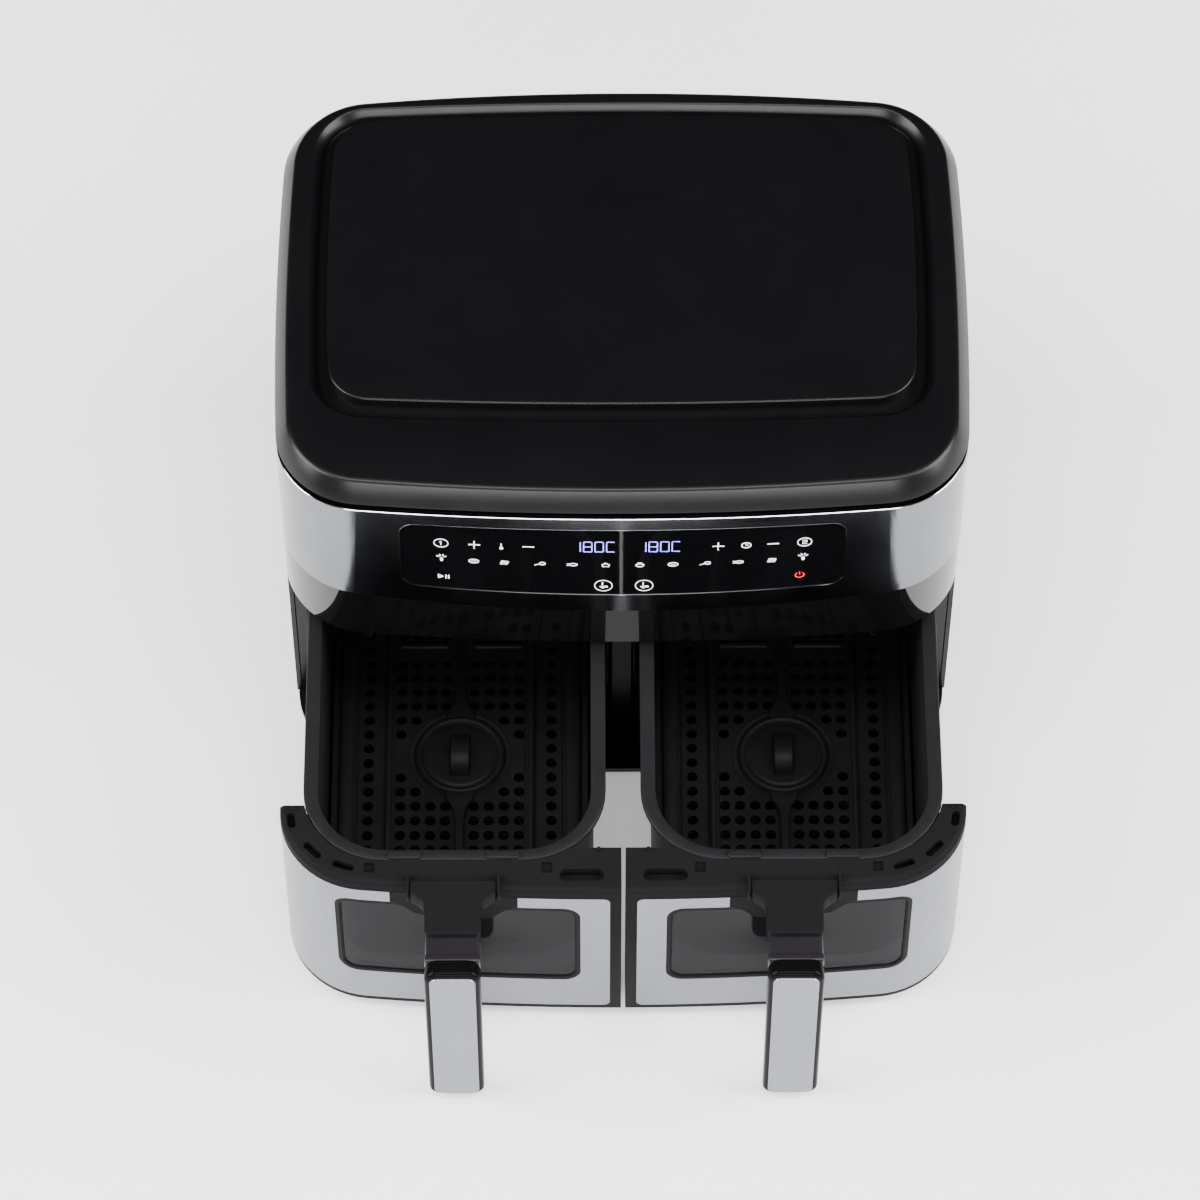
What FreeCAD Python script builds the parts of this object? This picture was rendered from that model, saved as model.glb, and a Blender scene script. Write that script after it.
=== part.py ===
import FreeCAD, Part
import math
import os
import Sketcher
from FreeCAD import Placement, Rotation, Vector

# Twin-drawer air fryer, both drawers pulled part of the way out.
# Millimetres, +Z up, +X to the right of a person facing the drawers, who looks along +Y.
# The frame's origin is on the table, under the middle of the whole object's bounding box.
# Y values below are counted from the middle of the housing; every piece is then moved by housing_y.

DIMENSIONS = [
    # alias, value, meaning
    ("housing_y", 107.25, "middle of the housing in the frame"),
    ("half_width", 195.0, "side of the housing at its widest"),
    ("half_depth", 144.5, "front and back of the housing at the centre"),
    ("front_sagitta", 11.0, "bulge of the front and the back over the full width"),
    ("side_sagitta", 4.3, "bulge of the sides over the full depth"),
    ("corner_radius", 50.0, "plan radius of the four vertical corners"),
    ("nose", 9.0, "how far the front stands out at the foot of the steel band"),
    ("foot_height", 4.0, "rubber feet"),
    ("foot_radius", 9.0, "rubber feet"),
    ("foot_x", 150.0, "feet from the centre, across"),
    ("foot_y", 100.0, "feet from the centre, along"),
    ("base_top", 8.0, "top of the base tray"),
    ("cover_wall", 2.5, "moulded side and rear covers"),
    ("front_wall", 3.0, "steel band and brow"),
    ("seam_y", -88.0, "vertical seam between the front and the side covers"),
    ("rear_seam", 139.8, "seam between the rear cover and the side covers"),
    ("brow_bottom", 151.0, "underside of the gloss brow"),
    ("nose_z", 198.0, "edge between brow and steel band"),
    ("band_top", 277.0, "top of the steel band and of the covers"),
    ("gap_top", 283.0, "top of the shadow gap, start of the top bevel"),
    ("total_height", 296.0, "top face"),
    ("bevel", 7.3, "inset of the top face from the sides"),
    ("gap_inset", 4.0, "depth of the shadow gap"),
    ("moat_x", 174.7, "groove round the top panel"),
    ("moat_front", -89.8, "groove round the top panel"),
    ("moat_back", 128.0, "groove round the top panel"),
    ("moat_floor", 288.5, "bottom of that groove"),
    ("panel_x", 166.0, "top panel"),
    ("panel_front", -79.4, "top panel"),
    ("panel_back", 122.0, "top panel"),
    ("glass_x", 124.0, "control glass"),
    ("glass_low", 212.0, "control glass"),
    ("glass_high", 268.0, "control glass"),
    ("glass_radius", 9.0, "control glass"),
    ("liner_in", 7.2, "chamber liner, outer face next to the divider"),
    ("liner_out", 181.8, "chamber liner, outer face next to the side cover"),
    ("liner_front", -84.4, "chamber liner"),
    ("liner_back", 130.0, "chamber liner"),
    ("liner_top", 202.0, "chamber liner"),
    ("sheet", 1.2, "sheet metal of the liners"),
    ("mouth_top", 152.5, "top of the drawer opening"),
    ("fan_x", 94.5, "fan and heater axis"),
    ("fan_y", 8.0, "fan and heater axis"),
    ("shaft_radius", 3.0, "motor shaft"),
    ("running_gap", 0.08, "radial clearance of shafts and plungers"),
    ("plunger_x", 186.0, "drawer switch and its plunger"),
    ("drawer_out", 160.5, "how far the drawers stand out at rest"),
    ("drawer_in_x", 1.2, "inner end of a drawer front"),
    ("drawer_low", 8.6, "bottom of a drawer front"),
    ("ledge_top", 145.0, "top of the ledge and of the pan's rim"),
    ("ledge_break", 140.0, "where the ledge's front bevel meets the steel skin"),
    ("skin", 1.4, "steel skin of the drawer front"),
    ("carrier_wall", 3.6, "moulded drawer front behind the skin"),
    ("ledge_back", -115.9, "back edge of the ledge at its inner end"),
    ("window_in", 24.5, "window of the drawer front"),
    ("window_out", 162.0, "window of the drawer front"),
    ("window_low", 43.7, "window of the drawer front"),
    ("window_high", 125.4, "window of the drawer front"),
    ("pan_in", 9.7, "pan rim next to the divider"),
    ("pan_out", 179.9, "pan rim next to the side"),
    ("pan_front", -123.7, "pan rim when the drawer is shut"),
    ("pan_back", 126.3, "pan rim when the drawer is shut"),
    ("rim", 7.0, "overhang of the rim at the sides"),
    ("rim_front", 5.7, "overhang of the rim at the front and back"),
    ("rim_low", 142.0, "underside of the rim"),
    ("pan_low", 20.0, "underside of the pan"),
    ("pan_wall", 1.6, "pan walls"),
    ("pan_floor", 22.0, "inside floor of the pan"),
    ("pan_radius", 46.0, "corner of the rim"),
    ("plate_low", 33.0, "underside of the crisper plate"),
    ("plate_top", 35.5, "top of the crisper plate"),
    ("plate_gap", 1.2, "crisper plate to pan wall"),
    ("ring_x", 94.8, "middle of the crisper plate's ring"),
    ("ring_y", 9.5, "middle of the crisper plate's ring, drawer shut"),
    ("hole_radius", 3.0, "holes of the crisper plate"),
    ("column_first", 8.3, "innermost column of holes from the ring's middle"),
    ("column_pitch", 8.8, "columns of holes"),
    ("edge_column", 53.6, "single outer column of holes"),
    ("row_first", 14.7, "first row of holes from the ring's middle"),
    ("row_pitch", 9.8, "rows of holes"),
    ("handle_x", 95.0, "middle of the handle"),
    ("handle_half", 15.7, "half the grip's width"),
    ("handle_front", -198.5, "face of the grip's inlay when the drawer is shut"),
    ("handle_thick", 12.5, "grip and inlay, front to back"),
    ("handle_low", 4.5, "bottom of the grip"),
    ("handle_top", 145.5, "top of the grip"),
    ("ledge_under", 137.2, "underside of the ledge"),
    ("slot_floor", 138.6, "bottom of the slots in the ledge"),
    ("skin_low", 12.0, "bottom of the steel skin"),
    ("skin_top", 136.4, "top of the steel skin"),
    ("notch_in", 59.2, "gap in the steel skin under the handle"),
    ("notch_out", 130.8, "gap in the steel skin under the handle"),
    ("probe_back", 80.0, "temperature probe, in front of the fan axis"),
]

DOC = FreeCAD.newDocument("air_fryer")
PIECES = []
SIDES = (("left", -1), ("right", 1))


class Size:
    """A length together with the sheet expression that gives it."""

    def __init__(self, number, text):
        self.number = number
        self.text = text

    def __float__(self):
        return float(self.number)

    def _mix(self, other, sign, number):
        other_text = other.text if isinstance(other, Size) else f"({float(other)!r})"
        return Size(number, f"({self.text} {sign} {other_text})")

    def __add__(self, other):
        return self._mix(other, "+", float(self) + float(other))

    def __sub__(self, other):
        return self._mix(other, "-", float(self) - float(other))

    def __mul__(self, other):
        return self._mix(other, "*", float(self) * float(other))

    def __truediv__(self, other):
        return self._mix(other, "/", float(self) / float(other))

    def __neg__(self):
        return self * -1.0

    def __rsub__(self, other):
        return -self + other

    __radd__ = __add__
    __rmul__ = __mul__


def make_sheet():
    """Fill the sheet and give every alias back as a Size."""
    sheet = DOC.addObject("Spreadsheet::Sheet", "Dims")
    for row, (alias, number, meaning) in enumerate(DIMENSIONS, start=1):
        sheet.set(f"A{row}", alias)
        sheet.set(f"B{row}", str(number))
        sheet.setAlias(f"B{row}", alias)
        sheet.set(f"C{row}", meaning)
    DOC.recompute()
    return {alias: Size(sheet.get(alias), f"Dims.{alias}") for alias, _, _ in DIMENSIONS}


D = make_sheet()


# ---------------------------------------------------------------- small building functions

def bind(item, path, size):
    """Tie one property to the sheet, or to a plain number."""
    item.setExpression(path, size.text if isinstance(size, Size) else repr(float(size)))


def put(item, x, y, z):
    """Place an item by its corner or centre, in housing coordinates."""
    bind(item, "Placement.Base.x", x)
    bind(item, "Placement.Base.y", D["housing_y"] + y)
    bind(item, "Placement.Base.z", z)


def span(side, near, far):
    """The X range between two distances from the centre plane, on one side of it."""
    return (near, far) if side > 0 else (-far, -near)


def around(middle, half):
    """A range of the given half width round a middle."""
    return (middle - half, middle + half)


def drawer_y(y):
    """A shut drawer's Y, moved to where the drawer stands at rest."""
    return y - D["drawer_out"]


def box(name, x, y, z):
    item = DOC.addObject("Part::Box", name)
    for side, (low, high) in (("Length", x), ("Width", y), ("Height", z)):
        bind(item, side, high - low)
    put(item, x[0], y[0], z[0])
    return item


TURNS = {
    "x": Rotation(Vector(0, 1, 0), 90),
    "y": Rotation(Vector(1, 0, 0), -90),
    "z": Rotation(),
}


def rod(name, radius, start, length, axis="z"):
    """A cylinder that runs from its start point along one axis."""
    item = DOC.addObject("Part::Cylinder", name)
    item.Placement = Placement(Vector(), TURNS[axis])
    bind(item, "Radius", radius)
    bind(item, "Height", length)
    put(item, *start)
    return item


def hoop(name, ring_radius, wire_radius, centre):
    item = DOC.addObject("Part::Torus", name)
    bind(item, "Radius1", ring_radius)
    bind(item, "Radius2", wire_radius)
    put(item, *centre)
    return item


def join(name, *items):
    item = DOC.addObject("Part::MultiFuse", name)
    item.Shapes = list(items)
    return item


def overlap(name, *items):
    item = DOC.addObject("Part::MultiCommon", name)
    item.Shapes = list(items)
    return item


def carve(name, base, *tools):
    item = DOC.addObject("Part::Cut", name)
    item.Base = base
    item.Tool = tools[0] if len(tools) == 1 else join(f"{name}_tools", *tools)
    return item


def group(name, *items):
    """Several separate solids that share one node."""
    item = DOC.addObject("Part::Compound", name)
    item.Links = list(items)
    return item


def keep(item):
    """Mark a finished sub-part; its name is the node's name."""
    item.Label = item.Name
    PIECES.append(item)
    return item


# ---------------------------------------------------------------- sketched pieces

PLANES = {"z": "XY_Plane", "y": "XZ_Plane"}


def new_body(name, moved_y=0.0):
    body = DOC.addObject("PartDesign::Body", name)
    bind(body, "Placement.Base.y", D["housing_y"] + moved_y)
    return body


def new_sketch(body, name, normal, level):
    """A sketch across an axis, at a level along it. The Y-normal plane faces -Y."""
    sketch = body.newObject("Sketcher::SketchObject", name)
    plane = next(f for f in body.Origin.OriginFeatures if f.Role == PLANES[normal])
    sketch.AttachmentSupport = [(plane, "")]
    sketch.MapMode = "FlatFace"
    bind(sketch, "AttachmentOffset.Base.z", level if normal == "z" else -1.0 * level)
    return sketch


def rounded_rectangle(sketch, across, along, radius):
    """Four lines and four tangent arcs, each side tied to its distance from the origin."""
    left, right = float(across[0]), float(across[1])
    low, high = float(along[0]), float(along[1])
    r = float(radius)
    corners = [(right - r, low + r), (right - r, high - r), (left + r, high - r), (left + r, low + r)]
    ends = [
        ((left + r, low), (right - r, low)),
        ((right, low + r), (right, high - r)),
        ((right - r, high), (left + r, high)),
        ((left, high - r), (left, low + r)),
    ]
    lines = []
    arcs = []
    for turn, (start, end) in enumerate(ends):
        line = Part.LineSegment(Vector(*start, 0), Vector(*end, 0))
        circle = Part.Circle(Vector(*corners[turn], 0), Vector(0, 0, 1), r)
        begin = (turn - 1) * math.pi / 2
        lines.append(sketch.addGeometry(line, False))
        arcs.append(sketch.addGeometry(Part.ArcOfCircle(circle, begin, begin + math.pi / 2), False))
    for turn in range(4):
        sketch.addConstraint(Sketcher.Constraint("Tangent", lines[turn], 2, arcs[turn], 1))
        sketch.addConstraint(Sketcher.Constraint("Tangent", arcs[turn], 2, lines[(turn + 1) % 4], 1))
        flat = "Horizontal" if turn % 2 == 0 else "Vertical"
        sketch.addConstraint(Sketcher.Constraint(flat, lines[turn]))
        if turn:
            sketch.addConstraint(Sketcher.Constraint("Equal", arcs[0], arcs[turn]))
    sizes = [
        (Sketcher.Constraint("Radius", arcs[0], r), radius),
        (Sketcher.Constraint("DistanceX", -1, 1, lines[1], 1, right), across[1]),
        (Sketcher.Constraint("DistanceX", -1, 1, lines[3], 1, left), across[0]),
        (Sketcher.Constraint("DistanceY", -1, 1, lines[0], 1, low), along[0]),
        (Sketcher.Constraint("DistanceY", -1, 1, lines[2], 1, high), along[1]),
    ]
    for constraint, size in sizes:
        index = sketch.addConstraint(constraint)
        bind(sketch, f"Constraints[{index}]", size)


def pad(body, name, sketch, length):
    feature = body.newObject("PartDesign::Pad", name)
    feature.Profile = sketch
    bind(feature, "Length", length)
    return feature


def pocket(body, name, sketch, length):
    """A pocket cuts against the sketch's normal, downwards from an XY sketch."""
    feature = body.newObject("PartDesign::Pocket", name)
    feature.Profile = sketch
    bind(feature, "Length", length)
    return feature


def round_floor(body, name, feature, level, radius):
    """Round the edges of a feature that lie flat at one level."""
    DOC.recompute()
    low = float(level)
    flat = [
        f"Edge{number}"
        for number, edge in enumerate(feature.Shape.Edges, start=1)
        if all(abs(vertex.Z - low) < 1e-4 for vertex in edge.Vertexes)
    ]
    fillet = body.newObject("PartDesign::Fillet", name)
    fillet.Base = (feature, flat)
    bind(fillet, "Radius", radius)
    return fillet


def slab(name, normal, across, along, levels, radius, moved_y=0.0):
    """A rounded rectangle, padded between two levels along Z or along Y."""
    body = new_body(name, moved_y)
    start = levels[0] if normal == "z" else levels[1]
    sketch = new_sketch(body, f"{name}_sketch", normal, start)
    rounded_rectangle(sketch, across, along, radius)
    pad(body, f"{name}_pad", sketch, levels[1] - levels[0])
    return body


# ---------------------------------------------------------------- the housing's plan

def crossing(centre_a, radius_a, centre_b, radius_b):
    """Where two circles cross, on the side with the larger X."""
    gap = centre_b - centre_a
    distance = gap.Length
    along = (distance ** 2 + radius_a ** 2 - radius_b ** 2) / (2 * distance)
    aside = math.sqrt(radius_a ** 2 - along ** 2)
    direction = gap * (1 / distance)
    foot = centre_a + direction * along
    normal = Vector(-direction.y, direction.x, 0) * aside
    return max(foot + normal, foot - normal, key=lambda point: point.x)


def corner_arc(width, depth, corner, radius):
    """Tangent points and middle of the arc between a bulging front and a bulging side.

    width and depth are where the side and the front cross the axes, corner is where
    their arcs would meet. Everything is in the quarter with X and Y above zero.
    """
    front_rise = depth - corner.y
    side_rise = width - corner.x
    front_bend = (corner.x ** 2 + front_rise ** 2) / (2 * front_rise)
    side_bend = (corner.y ** 2 + side_rise ** 2) / (2 * side_rise)
    front_centre = Vector(0, depth - front_bend, 0)
    side_centre = Vector(width - side_bend, 0, 0)
    centre = crossing(front_centre, front_bend - radius, side_centre, side_bend - radius)
    on_front = (centre - front_centre).normalize()
    on_side = (centre - side_centre).normalize()
    middle = (on_front + on_side).normalize()
    return [centre + direction * radius for direction in (on_side, middle, on_front)]


def plan_wire(z, inset=0.0, nose=0.0):
    """The housing's outline at one height: four gentle arcs and four corner arcs."""
    width = float(D["half_width"]) - inset
    depth = float(D["half_depth"]) - inset
    radius = float(D["corner_radius"]) - inset
    corner = Vector(width - float(D["side_sagitta"]), depth - float(D["front_sagitta"]), 0)
    back = corner_arc(width, depth, corner, radius)
    front = corner_arc(width, depth + nose, corner, radius)

    def at(point, sign_x, sign_y):
        return Vector(point.x * sign_x, point.y * sign_y, z)

    arcs = [
        (at(front[0], 1, -1), at(Vector(width, 0, 0), 1, 1), at(back[0], 1, 1)),
        (at(back[0], 1, 1), at(back[1], 1, 1), at(back[2], 1, 1)),
        (at(back[2], 1, 1), Vector(0, depth, z), at(back[2], -1, 1)),
        (at(back[2], -1, 1), at(back[1], -1, 1), at(back[0], -1, 1)),
        (at(back[0], -1, 1), at(Vector(width, 0, 0), -1, 1), at(front[0], -1, -1)),
        (at(front[0], -1, -1), at(front[1], -1, -1), at(front[2], -1, -1)),
        (at(front[2], -1, -1), Vector(0, -depth - nose, z), at(front[2], 1, -1)),
        (at(front[2], 1, -1), at(front[1], 1, -1), at(front[0], 1, -1)),
    ]
    return Part.Wire([Part.Arc(*points).toShape() for points in arcs])


def plan_solid(name, sections, moved_y=0.0):
    """A solid through outlines given as (height, inset, nose), straight between them."""
    wires = [plan_wire(float(z), float(inset), float(nose)) for z, inset, nose in sections]
    item = DOC.addObject("Part::Feature", name)
    item.Shape = Part.makeLoft(wires, True, True)
    item.Placement = Placement(Vector(0, float(D["housing_y"] + moved_y), 0), Rotation())
    return item


def plan_shell(name, sections, wall, moved_y=0.0):
    """A wall that follows the outline."""
    outer = plan_solid(f"{name}_outside", sections, moved_y)
    grown = [(z, inset + wall, nose) for z, inset, nose in sections]
    inner = plan_solid(f"{name}_inside", grown, moved_y)
    return carve(name, outer, inner)


# ---------------------------------------------------------------- housing

WIDE = 260.0  # beyond any piece, for the boxes that trim shells


def make_base():
    tray = plan_solid("base_plan", [(D["foot_height"], 1.0, 0.0), (D["base_top"], 1.0, 0.0)])
    tools = []
    screws = []
    below = D["foot_height"]
    for number, y in enumerate((-90.0, -30.0, 30.0, 90.0)):
        tools.append(rod(f"screw_hole_{number}", 2.1, (0.0, y, below - 1.0), 8.0))
        tools.append(rod(f"screw_seat_{number}", 3.6, (0.0, y, below - 1.0), 2.6))
        head = rod(f"screw_head_{number}", 3.4, (0.0, y, below + 0.2), 1.4)
        shank = rod(f"screw_shank_{number}", 2.0, (0.0, y, below + 1.6), 9.0)
        screws.append(join(f"screw_{number}", head, shank))
    for side_name, side in SIDES:
        for number in range(7):
            y = -60.0 + 20.0 * number
            x = span(side, 60.0, 130.0)
            tools.append(box(f"base_slot_{side_name}_{number}", x, (y, y + 6.0), (below - 1.0, below + 8.0)))
    keep(carve("base_tray", tray, *tools))
    keep(group("base_screws", *screws))
    feet = []
    for number, (sign_x, sign_y) in enumerate(((-1, -1), (1, -1), (1, 1), (-1, 1))):
        place = (D["foot_x"] * sign_x, D["foot_y"] * sign_y, 0.0)
        feet.append(rod(f"foot_{number}", D["foot_radius"], place, D["foot_height"]))
    keep(group("rubber_feet", *feet))


def make_covers():
    shell = plan_shell("cover_shell", [(D["base_top"], 0.0, 0.0), (D["band_top"], 0.0, 0.0)], D["cover_wall"])
    tall = (D["base_top"] - 1.0, D["band_top"] + 1.0)
    for side_name, side in SIDES:
        trim = box(f"{side_name}_side_trim", span(side, D["rear_seam"] + 0.2, WIDE), (D["seam_y"], WIDE), tall)
        keep(overlap(f"{side_name}_side_cover", shell, trim))
    trim = box("rear_trim", (-D["rear_seam"], D["rear_seam"]), (60.0, WIDE), tall)
    blank = overlap("rear_blank", shell, trim)
    tools = [rod("gland_hole", 8.0, (-110.0, 120.0, 30.0), 40.0, "y")]
    for side_name, side in SIDES:
        for number in range(12):
            x = side * D["fan_x"] + (number - 5.5) * 8.0
            slot = box(f"{side_name}_vent_{number}", around(x, 1.8), (120.0, WIDE), (208.0, 262.0))
            tools.append(slot)
    keep(carve("rear_cover", blank, *tools))
    bush = rod("gland_bush", 7.8, (-110.0, 134.0, 30.0), 7.5, "y")
    flange = rod("gland_flange", 11.0, (-110.0, 134.0, 30.0), 3.2, "y")
    bore = rod("gland_bore", 3.5, (-110.0, 130.0, 30.0), 20.0, "y")
    keep(carve("cord_gland", join("gland_solid", bush, flange), bore))


def make_top():
    wall = 5.0
    roof_low = 286.0
    skirt_low = 272.0
    skirt = plan_solid("top_skirt", [(skirt_low, D["gap_inset"], 0.0), (D["gap_top"], D["gap_inset"], 0.0)])
    cap = plan_solid("top_cap", [(D["gap_top"], 0.0, 0.0), (D["total_height"], D["bevel"], 0.0)])
    hollow_inset = D["gap_inset"] + wall
    hollow = plan_solid("top_hollow", [(skirt_low - 1.0, hollow_inset, 0.0), (roof_low, hollow_inset, 0.0)])
    moat = slab("top_moat", "z", (-D["moat_x"], D["moat_x"]), (D["moat_front"], D["moat_back"]),
                (D["moat_floor"], D["total_height"] + 1.0), 30.0)
    keep(carve("top_cover", join("top_block", skirt, cap), hollow, moat))
    keep(slab("top_panel", "z", (-D["panel_x"], D["panel_x"]), (D["panel_front"], D["panel_back"]),
              (D["moat_floor"], D["total_height"] - 0.4), 24.0))


def make_front():
    """Steel band, control glass and brow: the front leans out to a nose and back in below it."""
    band = [(D["nose_z"], 0.0, D["nose"]), (D["band_top"], 0.0, 0.0)]
    ahead = (-WIDE, D["seam_y"])
    band_trim = box("band_trim", (-WIDE, WIDE), ahead, (D["nose_z"], D["band_top"]))
    window = slab("control_window", "y", (-D["glass_x"] - 0.3, D["glass_x"] + 0.3),
                  (D["glass_low"] - 0.3, D["glass_high"] + 0.3), (-170.0, -120.0), D["glass_radius"])
    front = overlap("band_front", plan_shell("band_shell", band, D["front_wall"]), band_trim)
    keep(carve("front_band", front, window))

    pane = [(z, 0.3, nose) for z, _, nose in band]
    outline = slab("glass_outline", "y", (-D["glass_x"], D["glass_x"]),
                   (D["glass_low"], D["glass_high"]), (-170.0, -120.0), D["glass_radius"] - 0.3)
    keep(overlap("control_glass", plan_shell("glass_shell", pane, 2.5), outline))

    brow = [(D["brow_bottom"], 0.0, 0.0), (D["nose_z"], 0.0, D["nose"])]
    brow_trim = box("brow_trim", (-WIDE, WIDE), ahead, (D["brow_bottom"], D["nose_z"]))
    soffit_level = (D["brow_bottom"], D["brow_bottom"] + 2.0)
    soffit_plan = plan_solid("soffit_plan", [(soffit_level[0], 1.5, 0.0), (soffit_level[1], 1.5, 0.0)])
    soffit_trim = box("soffit_trim", (-WIDE, WIDE), (-WIDE, -112.0), soffit_level)
    face = overlap("brow_front", plan_shell("brow_shell", brow, D["front_wall"]), brow_trim)
    keep(join("brow_panel", face, overlap("soffit", soffit_plan, soffit_trim)))


def make_front_frame():
    """The moulded frame behind the drawer fronts: post, beam, ceiling, flanges and cheeks."""
    low, high = D["base_top"], 272.0
    brow = D["brow_bottom"]
    back = -84.5
    parts = [
        box("frame_post", (-5.5, 5.5), (-115.5, -109.0), (low, brow)),
        box("frame_beam", (-183.0, 183.0), (-112.0, -109.0), (brow, high)),
        box("frame_ceiling", (-183.0, 183.0), (-110.0, back), (brow, brow + 2.0)),
    ]
    tools = []
    for side_name, side in SIDES:
        parts.append(box(f"{side_name}_return", span(side, 180.0, 183.0), (-110.0, back), (brow, high)))
        parts.append(box(f"{side_name}_flange", span(side, 182.0, 190.0), (-87.5, back), (low, high)))
        parts.append(box(f"{side_name}_cheek", span(side, 182.0, 184.5), (-103.0, back), (14.0, 136.0)))
        tools.append(rod(f"{side_name}_plunger_hole", 2.4, (side * D["plunger_x"], -90.0, 143.0), 10.0, "y"))
    keep(carve("front_frame", join("frame_parts", *parts), *tools))
    holes = [rod(f"divider_hole_{n}", 2.05, (0.0, y, 7.0), 8.0) for n, y in enumerate((-90.0, -30.0, 30.0, 90.0))]
    wall = box("divider_wall", (-5.5, 5.5), (-109.0, D["liner_back"]), (D["base_top"], D["brow_bottom"]))
    upper = box("divider_upper", (-5.5, 5.5), (-84.4, D["liner_back"]), (D["brow_bottom"] - 1.0, D["liner_top"]))
    keep(carve("divider", join("divider_block", wall, upper), *holes))


def make_controls():
    board = box("board_sheet", (-118.0, 118.0), (-134.0, -132.4), (214.0, 266.0))
    posts = []
    for number, (x, z) in enumerate(((-110.0, 218.0), (110.0, 218.0), (-110.0, 262.0), (110.0, 262.0))):
        posts.append(rod(f"board_post_{number}", 3.0, (x, -132.4, z), 20.4, "y"))
    keep(join("control_board", board, *posts))
    displays = [box(f"{name}_display", span(side, 4.0, 31.0), (-142.0, -134.0), (246.0, 262.0))
                for name, side in SIDES]
    keep(group("display_modules", *displays))
    base = box("power_sheet", (-45.0, 45.0), (58.0, 122.0), (212.0, 213.6))
    parts = [base]
    for number, (x, y) in enumerate(((-40.0, 62.0), (40.0, 62.0), (-40.0, 118.0), (40.0, 118.0))):
        parts.append(rod(f"power_post_{number}", 3.0, (x, y, D["liner_top"]), 212.0 - D["liner_top"]))
    parts.append(box("power_transformer", (-30.0, -4.0), (70.0, 100.0), (213.6, 238.0)))
    parts.append(box("power_relay_a", (6.0, 24.0), (66.0, 82.0), (213.6, 230.0)))
    parts.append(box("power_relay_b", (6.0, 24.0), (88.0, 104.0), (213.6, 230.0)))
    keep(join("power_board", *parts))


# ---------------------------------------------------------------- hot-air system, one set per chamber

GUARDS = []
BRACKETS = []


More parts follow.
